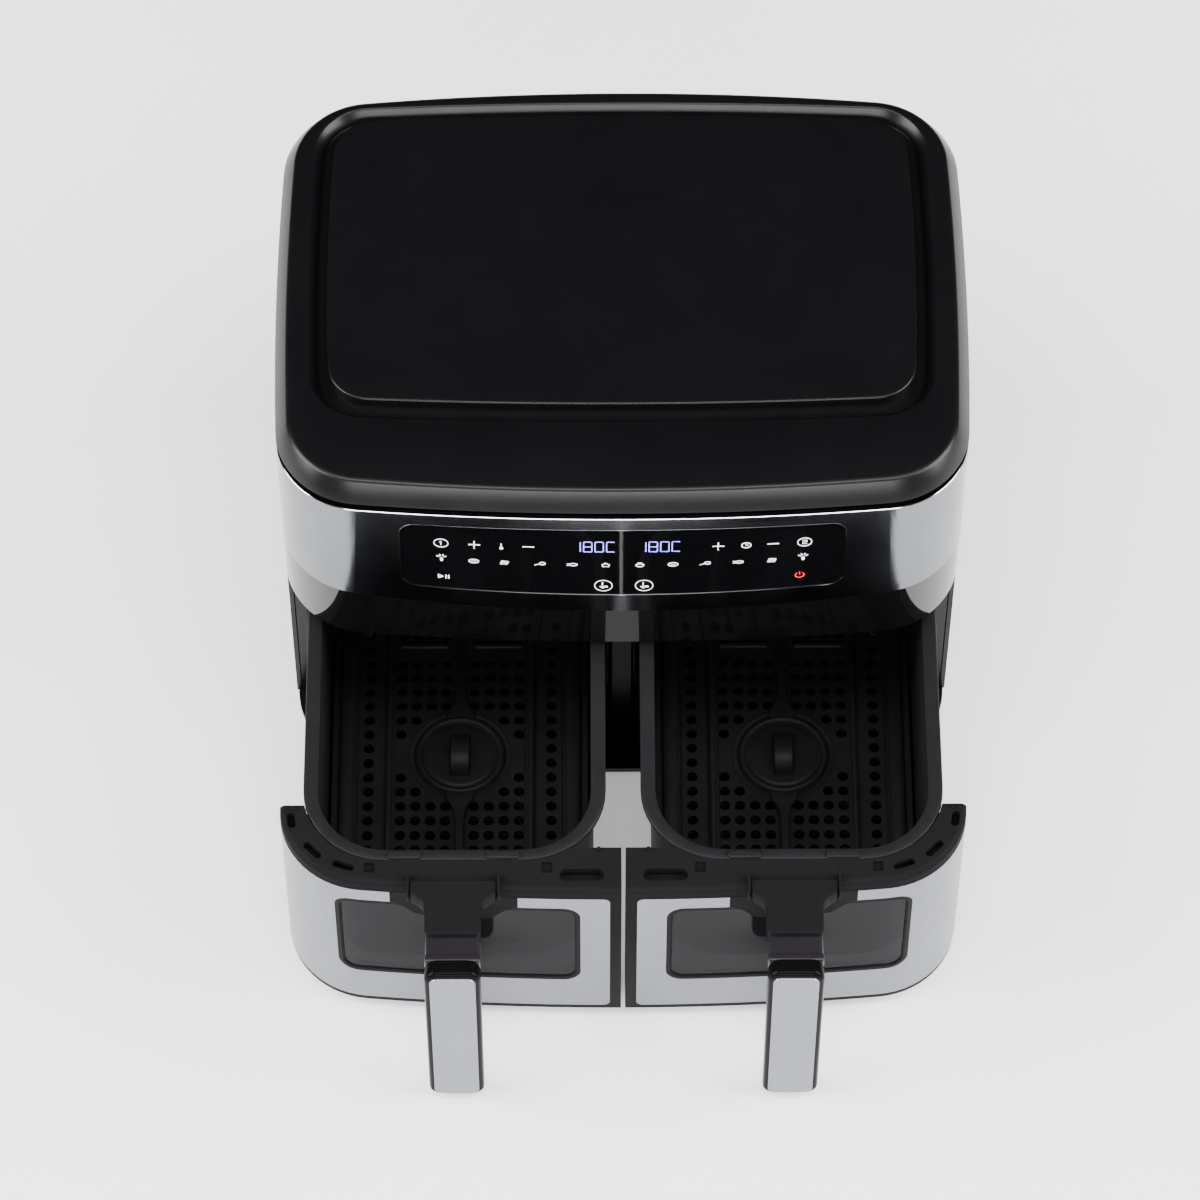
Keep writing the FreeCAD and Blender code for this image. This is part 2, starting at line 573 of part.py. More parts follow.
def make_chamber(side_name, side):
    axis_x = D["fan_x"] * side
    axis_y = D["fan_y"]
    sheet = D["sheet"]
    outside_x = span(side, D["liner_in"], D["liner_out"])
    inside_x = span(side, D["liner_in"] + sheet, D["liner_out"] - sheet)
    outside_z = (D["base_top"], D["liner_top"])
    inside_z = (D["base_top"] + sheet, D["liner_top"] - sheet)
    # the back corners are round; the front ones lie ahead of the trims
    front, ahead = D["liner_front"], D["liner_front"] - 60.0
    outer = overlap(f"{side_name}_liner_outer",
                    slab(f"{side_name}_liner_plan", "z", outside_x, (ahead, D["liner_back"]), outside_z, 30.0),
                    box(f"{side_name}_liner_trim", outside_x, (front, D["liner_back"]), outside_z))
    inner = overlap(f"{side_name}_liner_inner",
                    slab(f"{side_name}_liner_room", "z", inside_x, (ahead, D["liner_back"] - sheet), inside_z,
                         30.0 - sheet),
                    box(f"{side_name}_room_trim", inside_x, (front + sheet, D["liner_back"]), inside_z))
    mouth = box(f"{side_name}_liner_mouth", inside_x, (front - 1.0, front + 2.0), (inside_z[0], D["mouth_top"]))
    shaft_hole = rod(f"{side_name}_liner_hole", 5.0, (axis_x, axis_y, D["liner_top"] - 4.0), 8.0)
    lamp_hole = rod(f"{side_name}_lamp_hole", 11.1, (axis_x + 35.0 * side, D["liner_back"] - 5.0, 120.0), 10.0, "y")
    probe_hole = rod(f"{side_name}_probe_hole", 2.6, (axis_x, axis_y - D["probe_back"], D["liner_top"] - 4.0), 8.0)
    keep(carve(f"{side_name}_chamber_liner", outer, inner, mouth, shaft_hole, lamp_hole, probe_hole))

    heater_z = 168.0
    roof = D["liner_top"] - sheet
    heater = [hoop(f"{side_name}_heater_outer", 62.0, 3.6, (axis_x, axis_y, heater_z)),
              hoop(f"{side_name}_heater_inner", 44.0, 3.6, (axis_x, axis_y, heater_z))]
    for number in range(3):
        angle = math.radians(30 + 120 * number)
        x = axis_x + 62.0 * math.cos(angle)
        y = axis_y + 62.0 * math.sin(angle)
        bar = rod(f"{side_name}_heater_bar_{number}", 2.0, (axis_x, axis_y, heater_z), 18.0)
        bar.Placement = Placement(Vector(), Rotation(Vector(0, 0, 1), math.degrees(angle)) * TURNS["x"])
        put(bar, axis_x + 44.0 * math.cos(angle), axis_y + 44.0 * math.sin(angle), heater_z)
        heater.append(bar)
        heater.append(rod(f"{side_name}_heater_stay_{number}", 2.0, (x, y, heater_z), roof - heater_z))
    keep(join(f"{side_name}_heater", *heater))

    # bars and stays are thicker than the hoops, so no two equal round wires cross
    guard_z = 157.5
    reach = 74.0
    guard = [hoop(f"{side_name}_guard_ring_{n}", r, 1.2, (axis_x, axis_y, guard_z))
             for n, r in enumerate((24.0, 40.0, 56.0, reach))]
    guard.append(rod(f"{side_name}_guard_x", 1.5, (axis_x - reach, axis_y, guard_z), 2 * reach, "x"))
    guard.append(rod(f"{side_name}_guard_y", 1.4, (axis_x, axis_y - reach, guard_z), 2 * reach, "y"))
    for number, (x, y) in enumerate(((-reach, 0.0), (reach, 0.0), (0.0, -reach), (0.0, reach))):
        stay = (axis_x + x, axis_y + y, guard_z - 1.8)
        guard.append(rod(f"{side_name}_guard_stay_{number}", 1.7, stay, roof - guard_z + 1.8))
    GUARDS.append(join(f"{side_name}_guard", *guard))

    keep(rod(f"{side_name}_fan_shaft", D["shaft_radius"], (axis_x, axis_y, 178.0), 74.0))
    make_fan(f"{side_name}_hot_fan", (axis_x, axis_y), 178.0, 189.2, 55.0, 10)
    make_fan(f"{side_name}_cooling_fan", (axis_x, axis_y), 205.0, 214.0, 43.0, 8)

    can = rod(f"{side_name}_motor_can", 30.0, (axis_x, axis_y, 220.0), 38.0)
    bore = rod(f"{side_name}_motor_bore", D["shaft_radius"] + D["running_gap"], (axis_x, axis_y, 219.0), 34.0)
    keep(carve(f"{side_name}_motor", can, bore))

    plate = box(f"{side_name}_bracket_plate", around(axis_x, 62.0), around(axis_y, 18.0), (218.0, 220.0))
    legs = [box(f"{side_name}_bracket_leg_{n}", around(axis_x + 61.0 * sign, 1.0), around(axis_y, 18.0),
                (D["liner_top"], 218.0)) for n, sign in enumerate((-1, 1))]
    hole = rod(f"{side_name}_bracket_hole", 8.0, (axis_x, axis_y, 215.0), 8.0)
    BRACKETS.append(carve(f"{side_name}_bracket", join(f"{side_name}_bracket_frame", plate, *legs), hole))


def make_fan(name, centre, low, high, radius, blades):
    """A hub, a top disc and upright blades; it is pressed on the shaft."""
    x, y = centre
    hub_radius = 9.0
    disc = 1.2
    parts = [rod(f"{name}_hub", hub_radius, (x, y, low), high - low),
             rod(f"{name}_disc", radius, (x, y, high - disc), disc)]
    for number in range(blades):
        angle = 360.0 / blades * number
        blade = DOC.addObject("Part::Box", f"{name}_blade_{number}")
        bind(blade, "Length", radius * 0.5)
        bind(blade, "Width", 1.4)
        bind(blade, "Height", high - disc - low)
        blade.Placement = Placement(Vector(), Rotation(Vector(0, 0, 1), angle + 35.0))
        turn = math.radians(angle)
        put(blade, x + radius * 0.42 * math.cos(turn), y + radius * 0.42 * math.sin(turn), low)
        parts.append(blade)
    solid = join(f"{name}_solid", *parts)
    bore = rod(f"{name}_bore", D["shaft_radius"], (x, y, low - 1.0), high - low + 2.0)
    keep(carve(name, solid, bore))


def make_small_parts():
    """Rails, lamps, probes and the drawer switches, the same on both sides."""
    rails, holders, lenses, probes, switches = [], [], [], [], []
    for side_name, side in SIDES:
        near = D["liner_in"] + D["sheet"]
        far = D["liner_out"] - D["sheet"]
        rail_z = (135.0, D["rim_low"] - 0.3)
        rail_y = (-82.0, 98.0)
        rails.append(box(f"{side_name}_rail_in", span(side, near, near + 7.2), rail_y, rail_z))
        rails.append(box(f"{side_name}_rail_out", span(side, far - 6.6, far), rail_y, rail_z))
        lamp_x = (D["fan_x"] + 35.0) * side
        lenses.append(rod(f"{side_name}_lens", 11.0, (lamp_x, 127.6, 120.0), 2.4, "y"))
        holders.append(rod(f"{side_name}_holder", 13.0, (lamp_x, D["liner_back"], 120.0), 4.5, "y"))
        probe = (D["fan_x"] * side, D["fan_y"] - D["probe_back"])
        probes.append(join(f"{side_name}_probe",
                           rod(f"{side_name}_probe_tip", 2.5, (*probe, 186.0), 16.0),
                           rod(f"{side_name}_probe_head", 5.0, (*probe, D["liner_top"]), 4.0)))
        block = box(f"{side_name}_switch_block", around(side * D["plunger_x"], 3.2), (-84.5, -62.0), (136.0, 150.0))
        bore = rod(f"{side_name}_switch_bore", 2.0 + D["running_gap"], (side * D["plunger_x"], -86.0, 143.0), 20.0, "y")
        switches.append(carve(f"{side_name}_switch", block, bore))
        keep(rod(f"{side_name}_switch_plunger", 2.0, (side * D["plunger_x"], -87.7, 143.0), 18.0, "y"))
    keep(group("guide_rails", *rails))
    keep(group("chamber_lamps", *holders))
    keep(group("lamp_lenses", *lenses))
    keep(group("temperature_probes", *probes))
    keep(group("drawer_switches", *switches))


# ---------------------------------------------------------------- drawers

def make_drawer_front(side_name, side):
    """Moulded carrier with its ledge, the steel skin over it and the window in it."""
    shut = -D["drawer_out"]
    low, ledge, chamfer = D["drawer_low"], D["ledge_top"], D["ledge_break"]
    skin, inner_inset = D["skin"], D["skin"] + D["carrier_wall"]
    across = span(side, D["drawer_in_x"], WIDE)
    ahead = (-420.0, drawer_y(D["seam_y"]))
    tall = (low, ledge)

    outside = plan_solid(f"{side_name}_carrier_outside",
                         [(low, skin, 0.0), (chamfer, skin, 0.0), (ledge, skin + 4.6, 0.0)], shut)
    block = overlap(f"{side_name}_carrier_block", outside, box(f"{side_name}_carrier_trim", across, ahead, tall))
    hollow_plan = plan_solid(f"{side_name}_hollow_plan", [(11.0, inner_inset, 0.0), (D["ledge_under"], inner_inset, 0.0)], shut)
    hollow_trim = box(f"{side_name}_hollow_trim", span(side, D["drawer_in_x"] + 2.6, WIDE), (-420.0, 0.0), (0.0, 200.0))
    hollow = overlap(f"{side_name}_hollow", hollow_plan, hollow_trim)
    back_trim = box(f"{side_name}_back_trim", span(side, 0.0, 60.0), (drawer_y(D["ledge_back"]), 0.0), (0.0, 200.0))
    well = slab(f"{side_name}_pan_well", "z", span(side, D["pan_in"] - 0.3, D["pan_out"] + 0.3),
                (drawer_y(D["pan_front"] - 0.3), 60.0), (0.0, 200.0), D["pan_radius"])
    window = window_bar(side_name, "opening", side, -5.0)
    rebate = carve(f"{side_name}_rebate", window_bar(side_name, "rebate_bar", side, 0.2),
                   plan_solid(f"{side_name}_rebate_plan", [(0.0, 3.4, 0.0), (200.0, 3.4, 0.0)], shut))
    slots = ledge_slots(side_name, side)
    keep(carve(f"{side_name}_drawer_carrier", block, hollow, back_trim, well, window, rebate, *slots))

    skin_low, skin_top = D["skin_low"], D["skin_top"]
    sheet = plan_shell(f"{side_name}_skin_shell", [(skin_low, 0.0, 0.0), (skin_top, 0.0, 0.0)], skin, shut)
    trim = box(f"{side_name}_skin_trim", span(side, 6.5, WIDE), ahead, (skin_low, skin_top))
    notch = box(f"{side_name}_skin_notch", span(side, D["notch_in"], D["notch_out"]), (-420.0, -200.0), (D["window_high"] - 8.0, 150.0))
    keep(carve(f"{side_name}_drawer_skin", overlap(f"{side_name}_skin_blank", sheet, trim),
               window_bar(side_name, "skin_bar", side, 0.2), notch))

    pane = plan_shell(f"{side_name}_pane_shell", [(0.0, 0.2, 0.0), (200.0, 0.2, 0.0)], 3.2, shut)
    keep(overlap(f"{side_name}_window_glass", pane, window_bar(side_name, "pane_bar", side, 0.0)))


def window_bar(side_name, name, side, grow):
    """The window's outline, run through the drawer front and grown or shrunk all round."""
    across = span(side, D["window_in"] - grow, D["window_out"] + grow)
    upright = (D["window_low"] - grow, D["window_high"] + grow)
    return slab(f"{side_name}_{name}", "y", across, upright, (-420.0, -270.0), 10.0 + grow)


def ledge_slots(side_name, side):
    """Openings in the ledge: a long one near the middle, two square ones, three round the corner."""
    depth = (D["slot_floor"], 148.0)
    slots = [
        box(f"{side_name}_long_slot_a", span(side, 10.8, 17.0), (drawer_y(-137.0), drawer_y(-129.5)), depth),
        box(f"{side_name}_long_slot_b", span(side, 19.2, 36.0), (drawer_y(-137.0), drawer_y(-129.5)), depth),
        box(f"{side_name}_square_in", span(side, 39.8, 45.8), (drawer_y(-132.0), drawer_y(-125.5)), depth),
        box(f"{side_name}_square_out", span(side, 139.0, 144.5), (drawer_y(-131.0), drawer_y(-125.5)), depth),
    ]
    corner = ((155.0, -128.0, 20.0, 12.0), (173.0, -117.5, 47.0, 12.0), (186.0, -97.0, 90.0, 9.0))
    for number, (x, y, angle, length) in enumerate(corner):
        slot = DOC.addObject("Part::Box", f"{side_name}_corner_slot_{number}")
        bind(slot, "Length", length)
        bind(slot, "Width", 4.4)
        bind(slot, "Height", 10.0)
        turn = math.radians(side * angle)
        slot.Placement = Placement(Vector(), Rotation(Vector(0, 0, 1), side * angle))
        shift = Vector(-length / 2 * math.cos(turn) + 2.2 * math.sin(turn),
                       -length / 2 * math.sin(turn) - 2.2 * math.cos(turn), 0)
        put(slot, side * x + shift.x, drawer_y(y) + shift.y, depth[0])
        slots.append(slot)
    return slots


def make_pan(side_name, side):
    """Deep pan with a rim; the drawer's inner window sits against its front wall."""
    shut = -D["drawer_out"]
    wall_x = (D["pan_in"] + D["rim"], D["pan_out"] - D["rim"])
    wall_y = (D["pan_front"] + D["rim_front"], D["pan_back"] - D["rim_front"])
    body = new_body(f"{side_name}_pan_body", shut)
    tub = new_sketch(body, f"{side_name}_tub_sketch", "z", D["pan_low"])
    rounded_rectangle(tub, span(side, *wall_x), wall_y, D["pan_radius"] - 6.0)
    pad(body, f"{side_name}_tub", tub, D["ledge_top"] - D["pan_low"])
    lip = new_sketch(body, f"{side_name}_lip_sketch", "z", D["rim_low"])
    rounded_rectangle(lip, span(side, D["pan_in"], D["pan_out"]), (D["pan_front"], D["pan_back"]), D["pan_radius"])
    pad(body, f"{side_name}_lip", lip, D["ledge_top"] - D["rim_low"])
    wall = D["pan_wall"]
    inside = new_sketch(body, f"{side_name}_inside_sketch", "z", D["ledge_top"])
    rounded_rectangle(inside, span(side, wall_x[0] + wall, wall_x[1] - wall),
                      (wall_y[0] + wall, wall_y[1] - wall), D["pan_radius"] - 7.6)
    inside_cut = pocket(body, f"{side_name}_inside", inside, D["ledge_top"] - D["pan_floor"])
    floor_round = round_floor(body, f"{side_name}_floor_round", inside_cut, D["pan_floor"], 8.0)
    round_floor(body, f"{side_name}_tub_round", floor_round, D["pan_low"], 9.0)

    face = drawer_y(wall_y[0])
    view_x, view_z = (62.0, 128.0), (52.0, 118.0)
    view = slab(f"{side_name}_view", "y", span(side, *view_x), view_z, (face - 2.0, face + 4.0), 8.0)
    keep(carve(f"{side_name}_pan", body, view))
    glass_x = span(side, view_x[0] - 5.0, view_x[1] + 5.0)
    glass_z = (view_z[0] - 5.0, view_z[1] + 5.0)
    keep(slab(f"{side_name}_inner_window", "y", glass_x, glass_z, (face - 4.0, face), 10.0))


def make_handle(side_name, side):
    """Bracket over the ledge, a neck, a hanging grip and its steel inlay."""
    middle = D["handle_x"] * side
    half = D["handle_half"]
    front = drawer_y(D["handle_front"])
    back = front + D["handle_thick"]
    face = drawer_y(-D["half_depth"])
    tongue = box(f"{side_name}_bracket_tongue", around(middle, half), (face - 28.0, face + 20.0),
                 (D["ledge_top"], D["ledge_top"] + 3.0))
    arm = box(f"{side_name}_bracket_arm", around(middle, half), (face - 28.0, face + 8.0),
              (136.0, D["ledge_top"] + 3.0))
    ears = box(f"{side_name}_bracket_ears", around(middle, 24.5), (face - 4.0, face + 8.0), (122.0, 143.0))
    behind = plan_solid(f"{side_name}_bracket_seat",
                        [(100.0, 0.0, 0.0), (D["ledge_break"], 0.0, 0.0), (D["ledge_top"], 6.0, 0.0)],
                        -D["drawer_out"])
    keep(carve(f"{side_name}_handle_bracket",
               join(f"{side_name}_bracket_solid", tongue, arm, ears), behind))
    inlay = 1.1
    grip = slab(f"{side_name}_grip_bar", "y", around(middle, half), (D["handle_low"], D["handle_top"]),
                (front + inlay, back), 7.0)
    neck = box(f"{side_name}_neck", around(middle, half - 0.2), (back - 1.0, face - 28.0), (133.0, 145.0))
    keep(join(f"{side_name}_handle_grip", grip, neck))
    keep(slab(f"{side_name}_handle_inlay", "y", around(middle, half - 2.9),
              (D["handle_low"] + 3.5, D["handle_top"] - 4.0), (front, front + inlay), 5.0))


def make_plate(side_name, side):
    """Perforated crisper plate with its ring and lifting tab, on silicone feet."""
    shut = -D["drawer_out"]
    gap = D["pan_wall"] + D["plate_gap"]
    across = span(side, D["pan_in"] + D["rim"] + gap, D["pan_out"] - D["rim"] - gap)
    along = (D["pan_front"] + D["rim_front"] + gap, D["pan_back"] - D["rim_front"] - gap)
    body = new_body(f"{side_name}_plate_body", shut)
    sketch = new_sketch(body, f"{side_name}_plate_sketch", "z", D["plate_low"])
    rounded_rectangle(sketch, across, along, D["pan_radius"] - 8.8)
    centre_x = float(D["ring_x"]) * side
    centre_y = float(D["ring_y"])
    for x, y in plate_holes():
        spot = Vector(centre_x + x, centre_y + y, 0)
        sketch.addGeometry(Part.Circle(spot, Vector(0, 0, 1), float(D["hole_radius"])), False)
    pad(body, f"{side_name}_plate_pad", sketch, D["plate_top"] - D["plate_low"])
    middle = (D["ring_x"] * side, drawer_y(D["ring_y"]))
    ridge = carve(f"{side_name}_ridge",
                  rod(f"{side_name}_ridge_out", 26.0, (*middle, D["plate_top"]), 2.0),
                  rod(f"{side_name}_ridge_in", 19.5, (*middle, D["plate_top"] - 1.0), 4.0))
    keep(join(f"{side_name}_crisper_plate", body, ridge))

    crown = 44.0
    bend = 18.0
    half = 5.8
    start = (middle[0] - half, middle[1], crown - bend)
    arch = carve(f"{side_name}_tab_arch",
                 rod(f"{side_name}_tab_outer", bend, start, 2 * half, "x"),
                 rod(f"{side_name}_tab_inner", bend - 2.0, start, 2 * half, "x"))
    trim = box(f"{side_name}_tab_trim", around(middle[0], 2 * half), around(middle[1], 30.0), (D["plate_top"], 60.0))
    keep(overlap(f"{side_name}_lift_tab", arch, trim))

    feet = []
    for number, (x, y) in enumerate(((-58.0, -104.0), (58.0, -104.0), (58.0, 88.0), (-58.0, 88.0))):
        spot = (middle[0] + x, middle[1] + y, D["pan_floor"] + 0.05)
        feet.append(rod(f"{side_name}_plate_foot_{number}", 5.0, spot, D["plate_low"] - D["pan_floor"] - 0.05))
    keep(group(f"{side_name}_plate_feet", *feet))


BEAD_ROW = 6  # behind the ring a pressed bead takes the place of this row


def plate_holes():
    """Hole centres round the ring's middle: a grid that opens round the ring, and two outer columns."""
    columns = [float(D["column_first"]) + n * float(D["column_pitch"]) for n in range(4)]
    first, pitch = float(D["row_first"]), float(D["row_pitch"])
    spots = []
    for ahead, rows in ((-1, 11), (1, 10)):
        for row in range(rows):
            if ahead > 0 and row == BEAD_ROW:
                continue
            for x in columns[3 - row:] if row < 2 else columns:
                spots += [(x * sign, ahead * (first + row * pitch)) for sign in (-1, 1)]
        for row in range(rows + 1):
            edge_y = ahead * (pitch / 2 + row * pitch)
            if abs(edge_y) < 100.0:
                spots += [(float(D["edge_column"]) * sign, edge_y) for sign in (-1, 1)]
    return spots


# ---------------------------------------------------------------- build, check and write

def check_document():
    for item in DOC.Objects:
        if "Invalid" in item.State or "Error" in item.State:
            raise RuntimeError(f"{item.Name} failed: {item.State}")
    for item in PIECES:
        if item.Shape.isNull() or not item.Shape.isValid() or not item.Shape.Solids:
            raise RuntimeError(f"{item.Name} has no valid solid")


def main():
    make_base()
    make_covers()
    make_top()
    make_front()
    make_front_frame()
    make_controls()
    make_small_parts()
    for side_name, side in SIDES:
        make_chamber(side_name, side)
        make_drawer_front(side_name, side)
        make_pan(side_name, side)
        make_handle(side_name, side)
        make_plate(side_name, side)
    keep(group("heater_guards", *GUARDS))
    keep(group("motor_brackets", *BRACKETS))
    DOC.recompute()
    check_document()
    os.makedirs("parts", exist_ok=True)
    for item in PIECES:
        item.Shape.exportStep(f"parts/{item.Label}.step")
        print(f"{item.Label}: {len(item.Shape.Solids)} solids, {item.Shape.Volume / 1000.0:.1f} cm3")
    print(len(PIECES), "nodes")


main()
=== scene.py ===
import math

import bpy
from mathutils import Matrix, Vector


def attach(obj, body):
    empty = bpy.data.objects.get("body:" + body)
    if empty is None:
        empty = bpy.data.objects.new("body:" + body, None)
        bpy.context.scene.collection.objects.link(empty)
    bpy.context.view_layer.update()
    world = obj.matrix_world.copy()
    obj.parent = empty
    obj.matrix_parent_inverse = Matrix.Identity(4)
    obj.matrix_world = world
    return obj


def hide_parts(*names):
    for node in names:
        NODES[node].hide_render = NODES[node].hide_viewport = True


# Twin-drawer air fryer with both drawers pulled out. Sizes in this file are millimetres,
# turned to metres as the corners of a mesh are laid. Y values are counted from the middle
# of the housing, as in the part's CAD source, and moved by HOUSING_Y or DRAWER_Y.

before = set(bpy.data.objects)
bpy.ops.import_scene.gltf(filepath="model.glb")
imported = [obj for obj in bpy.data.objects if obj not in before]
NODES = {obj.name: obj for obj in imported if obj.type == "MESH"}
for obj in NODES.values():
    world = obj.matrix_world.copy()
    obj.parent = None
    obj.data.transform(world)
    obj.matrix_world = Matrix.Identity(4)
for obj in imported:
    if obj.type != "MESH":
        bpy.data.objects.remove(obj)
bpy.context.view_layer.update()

MM = 0.001
HOUSING_Y = 107.25
DRAWER_OUT = 160.5  # how far the drawers stand out at rest
DRAWER_Y = HOUSING_Y - DRAWER_OUT
SIDES = (("left", -1), ("right", 1))

# the housing seen from above, and its steel band that leans out towards its lower edge
HALF_WIDTH = 195.0
HALF_DEPTH = 144.5
FRONT_BULGE = 11.0
SIDE_BULGE = 4.3
CORNER = 50.0
NOSE = 9.0
NOSE_Z = 198.0
BAND_TOP = 277.0
TOP_Z = 296.0
SEAM_Y = -88.0  # the fronts stop here on either side

# the drawer fronts, their ledges and handles
HANDLE_X = 95.0
LEDGE_TOP = 145.0
LEDGE_UNDER = 137.2
SLOT_FLOOR = 138.6
SKIN_LOW = 13.4
SKIN_TOP = 136.4
GRIP_HALF = 15.7
GRIP_LOW = 4.5
GRIP_TOP = 145.5

# the crisper plates; the left one is modelled and the right one copied from it
RING_X = 94.8
PLATE_X = -RING_X
PLATE_Y = 9.5 + DRAWER_Y
PLATE_TOP = 35.5
BEAD_ROW = 6  # behind the ring a pressed bead takes the place of this row of holes

# the print on the control glass
GLASS_SUNK = 0.3
PRINT_PROUD = 0.06
PRINT_THICK = 0.12


# ---------------------------------------------------------------- modelling by hand, in steps

def clear_selection():
    bpy.ops.object.select_all(action="DESELECT")


def take(*pieces):
    """Select these pieces only; the first one is the active one."""
    clear_selection()
    for piece in pieces:
        piece.select_set(True)
    bpy.context.view_layer.objects.active = pieces[0]


def lay(piece, ring, spots):
    """Put the corners of one ring on their spots."""
    for index, spot in zip(ring, spots):
        piece.data.vertices[index].co = Vector(spot) * MM


def start_ring(name, spots, filled):
    """A disc or a bare hoop with one corner for each spot."""
    clear_selection()
    fill = "NGON" if filled else "NOTHING"
    bpy.ops.mesh.primitive_circle_add(vertices=len(spots), radius=0.1, fill_type=fill)
    piece = bpy.context.object
    piece.name = name
    piece.data.name = name
    ring = list(range(len(spots)))
    lay(piece, ring, spots)
    return piece, ring


def grow_ring(piece, ring, spots):
    """Extrude what is selected and lay the new corners on the next outline."""
    order = {tuple(piece.data.vertices[index].co): place for place, index in enumerate(ring)}
    bpy.ops.object.mode_set(mode="EDIT")
    bpy.ops.mesh.extrude_region()
    bpy.ops.object.mode_set(mode="OBJECT")
    fresh = [0] * len(ring)
    for vertex in piece.data.vertices:
        if vertex.select:
            fresh[order[tuple(vertex.co)]] = vertex.index
    lay(piece, fresh, spots)
    return fresh


def smooth(piece, angle=32.0):
    """Merge doubles, turn the faces outwards and shade the gentle edges smooth."""
    take(piece)
    bpy.ops.object.mode_set(mode="EDIT")
    bpy.ops.mesh.select_all(action="SELECT")
    bpy.ops.mesh.remove_doubles(threshold=1e-6)
    bpy.ops.mesh.normals_make_consistent(inside=False)
    bpy.ops.object.mode_set(mode="OBJECT")
    bpy.ops.object.shade_smooth_by_angle(angle=math.radians(angle))
    return piece


def loft(name, rings, angle=32.0):
    """A solid through outlines with equal numbers of corners, closed at both ends."""
    piece, ring = start_ring(name, rings[0], True)
    for spots in rings[1:]:
        ring = grow_ring(piece, ring, spots)
    return smooth(piece, angle)


def hoop_loft(name, rings, angle=32.0):
    """A wall through outlines that come back to the first one."""
    piece, ring = start_ring(name, rings[0], False)
    for spots in rings[1:] + rings[:1]:
        ring = grow_ring(piece, ring, spots)
    return smooth(piece, angle)


def join(name, pieces):
    take(*pieces)
    if len(pieces) > 1:
        bpy.ops.object.join()
    pieces[0].name = name
    pieces[0].data.name = name
    return pieces[0]


def carve(piece, tools, operation="DIFFERENCE"):
    """Cut with the tools, or keep what lies inside them, and throw the tools away."""
    tool = join("tool", tools)
    modifier = piece.modifiers.new("carve", "BOOLEAN")
    modifier.operation = operation
    modifier.solver = "EXACT"
    modifier.object = tool
    take(piece)
    bpy.ops.object.modifier_apply(modifier=modifier.name)
    bpy.data.objects.remove(tool)


def slice_off(piece, point, normal):
    """Cut across and throw away what lies on the normal's side; the cut is closed."""
    take(piece)
    bpy.ops.object.mode_set(mode="EDIT")
    bpy.ops.mesh.select_all(action="SELECT")
    bpy.ops.mesh.bisect(plane_co=Vector(point) * MM, plane_no=normal, use_fill=True, clear_outer=True)
    bpy.ops.object.mode_set(mode="OBJECT")


def shade(piece, angle):
    """Shade the gentle edges smooth and leave the sharper ones crisp."""
    take(piece)
    bpy.ops.object.shade_smooth_by_angle(angle=math.radians(angle))


def copy_of(piece, name, across, along=0.0):
    """A second piece with its own mesh, moved along X and Y."""
    take(piece)
    bpy.ops.object.duplicate()
    twin = bpy.context.object
    twin.name = name
    twin.data.name = name
    twin.data.transform(Matrix.Translation((across * MM, along * MM, 0.0)))
    return twin


# ---------------------------------------------------------------- outlines

ROUND_STEPS = (14, 14, 8)  # corners laid along a quarter's front, round its bend and along its side


def arc(centre, start, end, steps):
    """Points along the short way round from start to end; the end is left out."""
    first = math.atan2(start.y - centre.y, start.x - centre.x)
    last = math.atan2(end.y - centre.y, end.x - centre.x)
    turn = (last - first + math.pi) % (2.0 * math.pi) - math.pi
    radius = (start - centre).length
    angles = [first + turn * step / steps for step in range(steps)]
    return [centre + Vector((math.cos(angle), math.sin(angle))) * radius for angle in angles]


def bend_of(chord, rise):
    """The radius of a bow that rises this much over half its chord."""
    return (chord ** 2 + rise ** 2) / (2.0 * rise)


def quarter(width, depth, meet, radius):
    """From the middle of the front to the middle of the side, in the quarter with X and Y above zero."""
    front_bend = bend_of(meet[0], depth - meet[1])
    side_bend = bend_of(meet[1], width - meet[0])
    front_centre = Vector((0.0, depth - front_bend))
    side_centre = Vector((width - side_bend, 0.0))
    reach_a, reach_b = front_bend - radius, side_bend - radius
    gap = side_centre - front_centre
    along = (gap.length ** 2 + reach_a ** 2 - reach_b ** 2) / (2.0 * gap.length)
    aside = math.sqrt(reach_a ** 2 - along ** 2)
    ahead = gap.normalized()
    foot = front_centre + ahead * along
    across = Vector((-ahead.y, ahead.x)) * aside
    centre = max(foot + across, foot - across, key=lambda spot: spot.x)
    on_front = centre + (centre - front_centre).normalized() * radius
    on_side = centre + (centre - side_centre).normalized() * radius
    points = arc(front_centre, Vector((0.0, depth)), on_front, ROUND_STEPS[0])
    points += arc(centre, on_front, on_side, ROUND_STEPS[1])
    points += arc(side_centre, on_side, Vector((width, 0.0)), ROUND_STEPS[2])
    return points


def bulged(width, depth, side_bulge, end_bulge, radius, middle, nose=0.0):
    """A rounded rectangle with gently bulging sides, as (x, y) corners, all the way round."""
    meet = (width - side_bulge, depth - end_bulge)
    ahead = quarter(width, depth + nose, meet, radius)
    behind = quarter(width, depth, meet, radius)
    right = [(spot.x, -spot.y) for spot in ahead] + [(width, 0.0)]
    right += [(spot.x, spot.y) for spot in reversed(behind)]
    left = [(-x, y) for x, y in reversed(right[1:-1])]
    return [(x, y + middle) for x, y in right + left]


def plan(inset=0.0, nose=0.0, move=HOUSING_Y):
    """The housing's outline seen from above."""
    width, depth = HALF_WIDTH - inset, HALF_DEPTH - inset
    return bulged(width, depth, SIDE_BULGE, FRONT_BULGE, CORNER - inset, move, nose)


def drawer_plan(inset):
    """The same outline where the drawer fronts stand."""
    return plan(inset, 0.0, DRAWER_Y)


def oval(centre, across, along, steps):
    """Points all the way round an oval."""
    turns = [2.0 * math.pi * step / steps for step in range(steps)]
    return [(centre[0] + across * math.cos(turn), centre[1] + along * math.sin(turn)) for turn in turns]


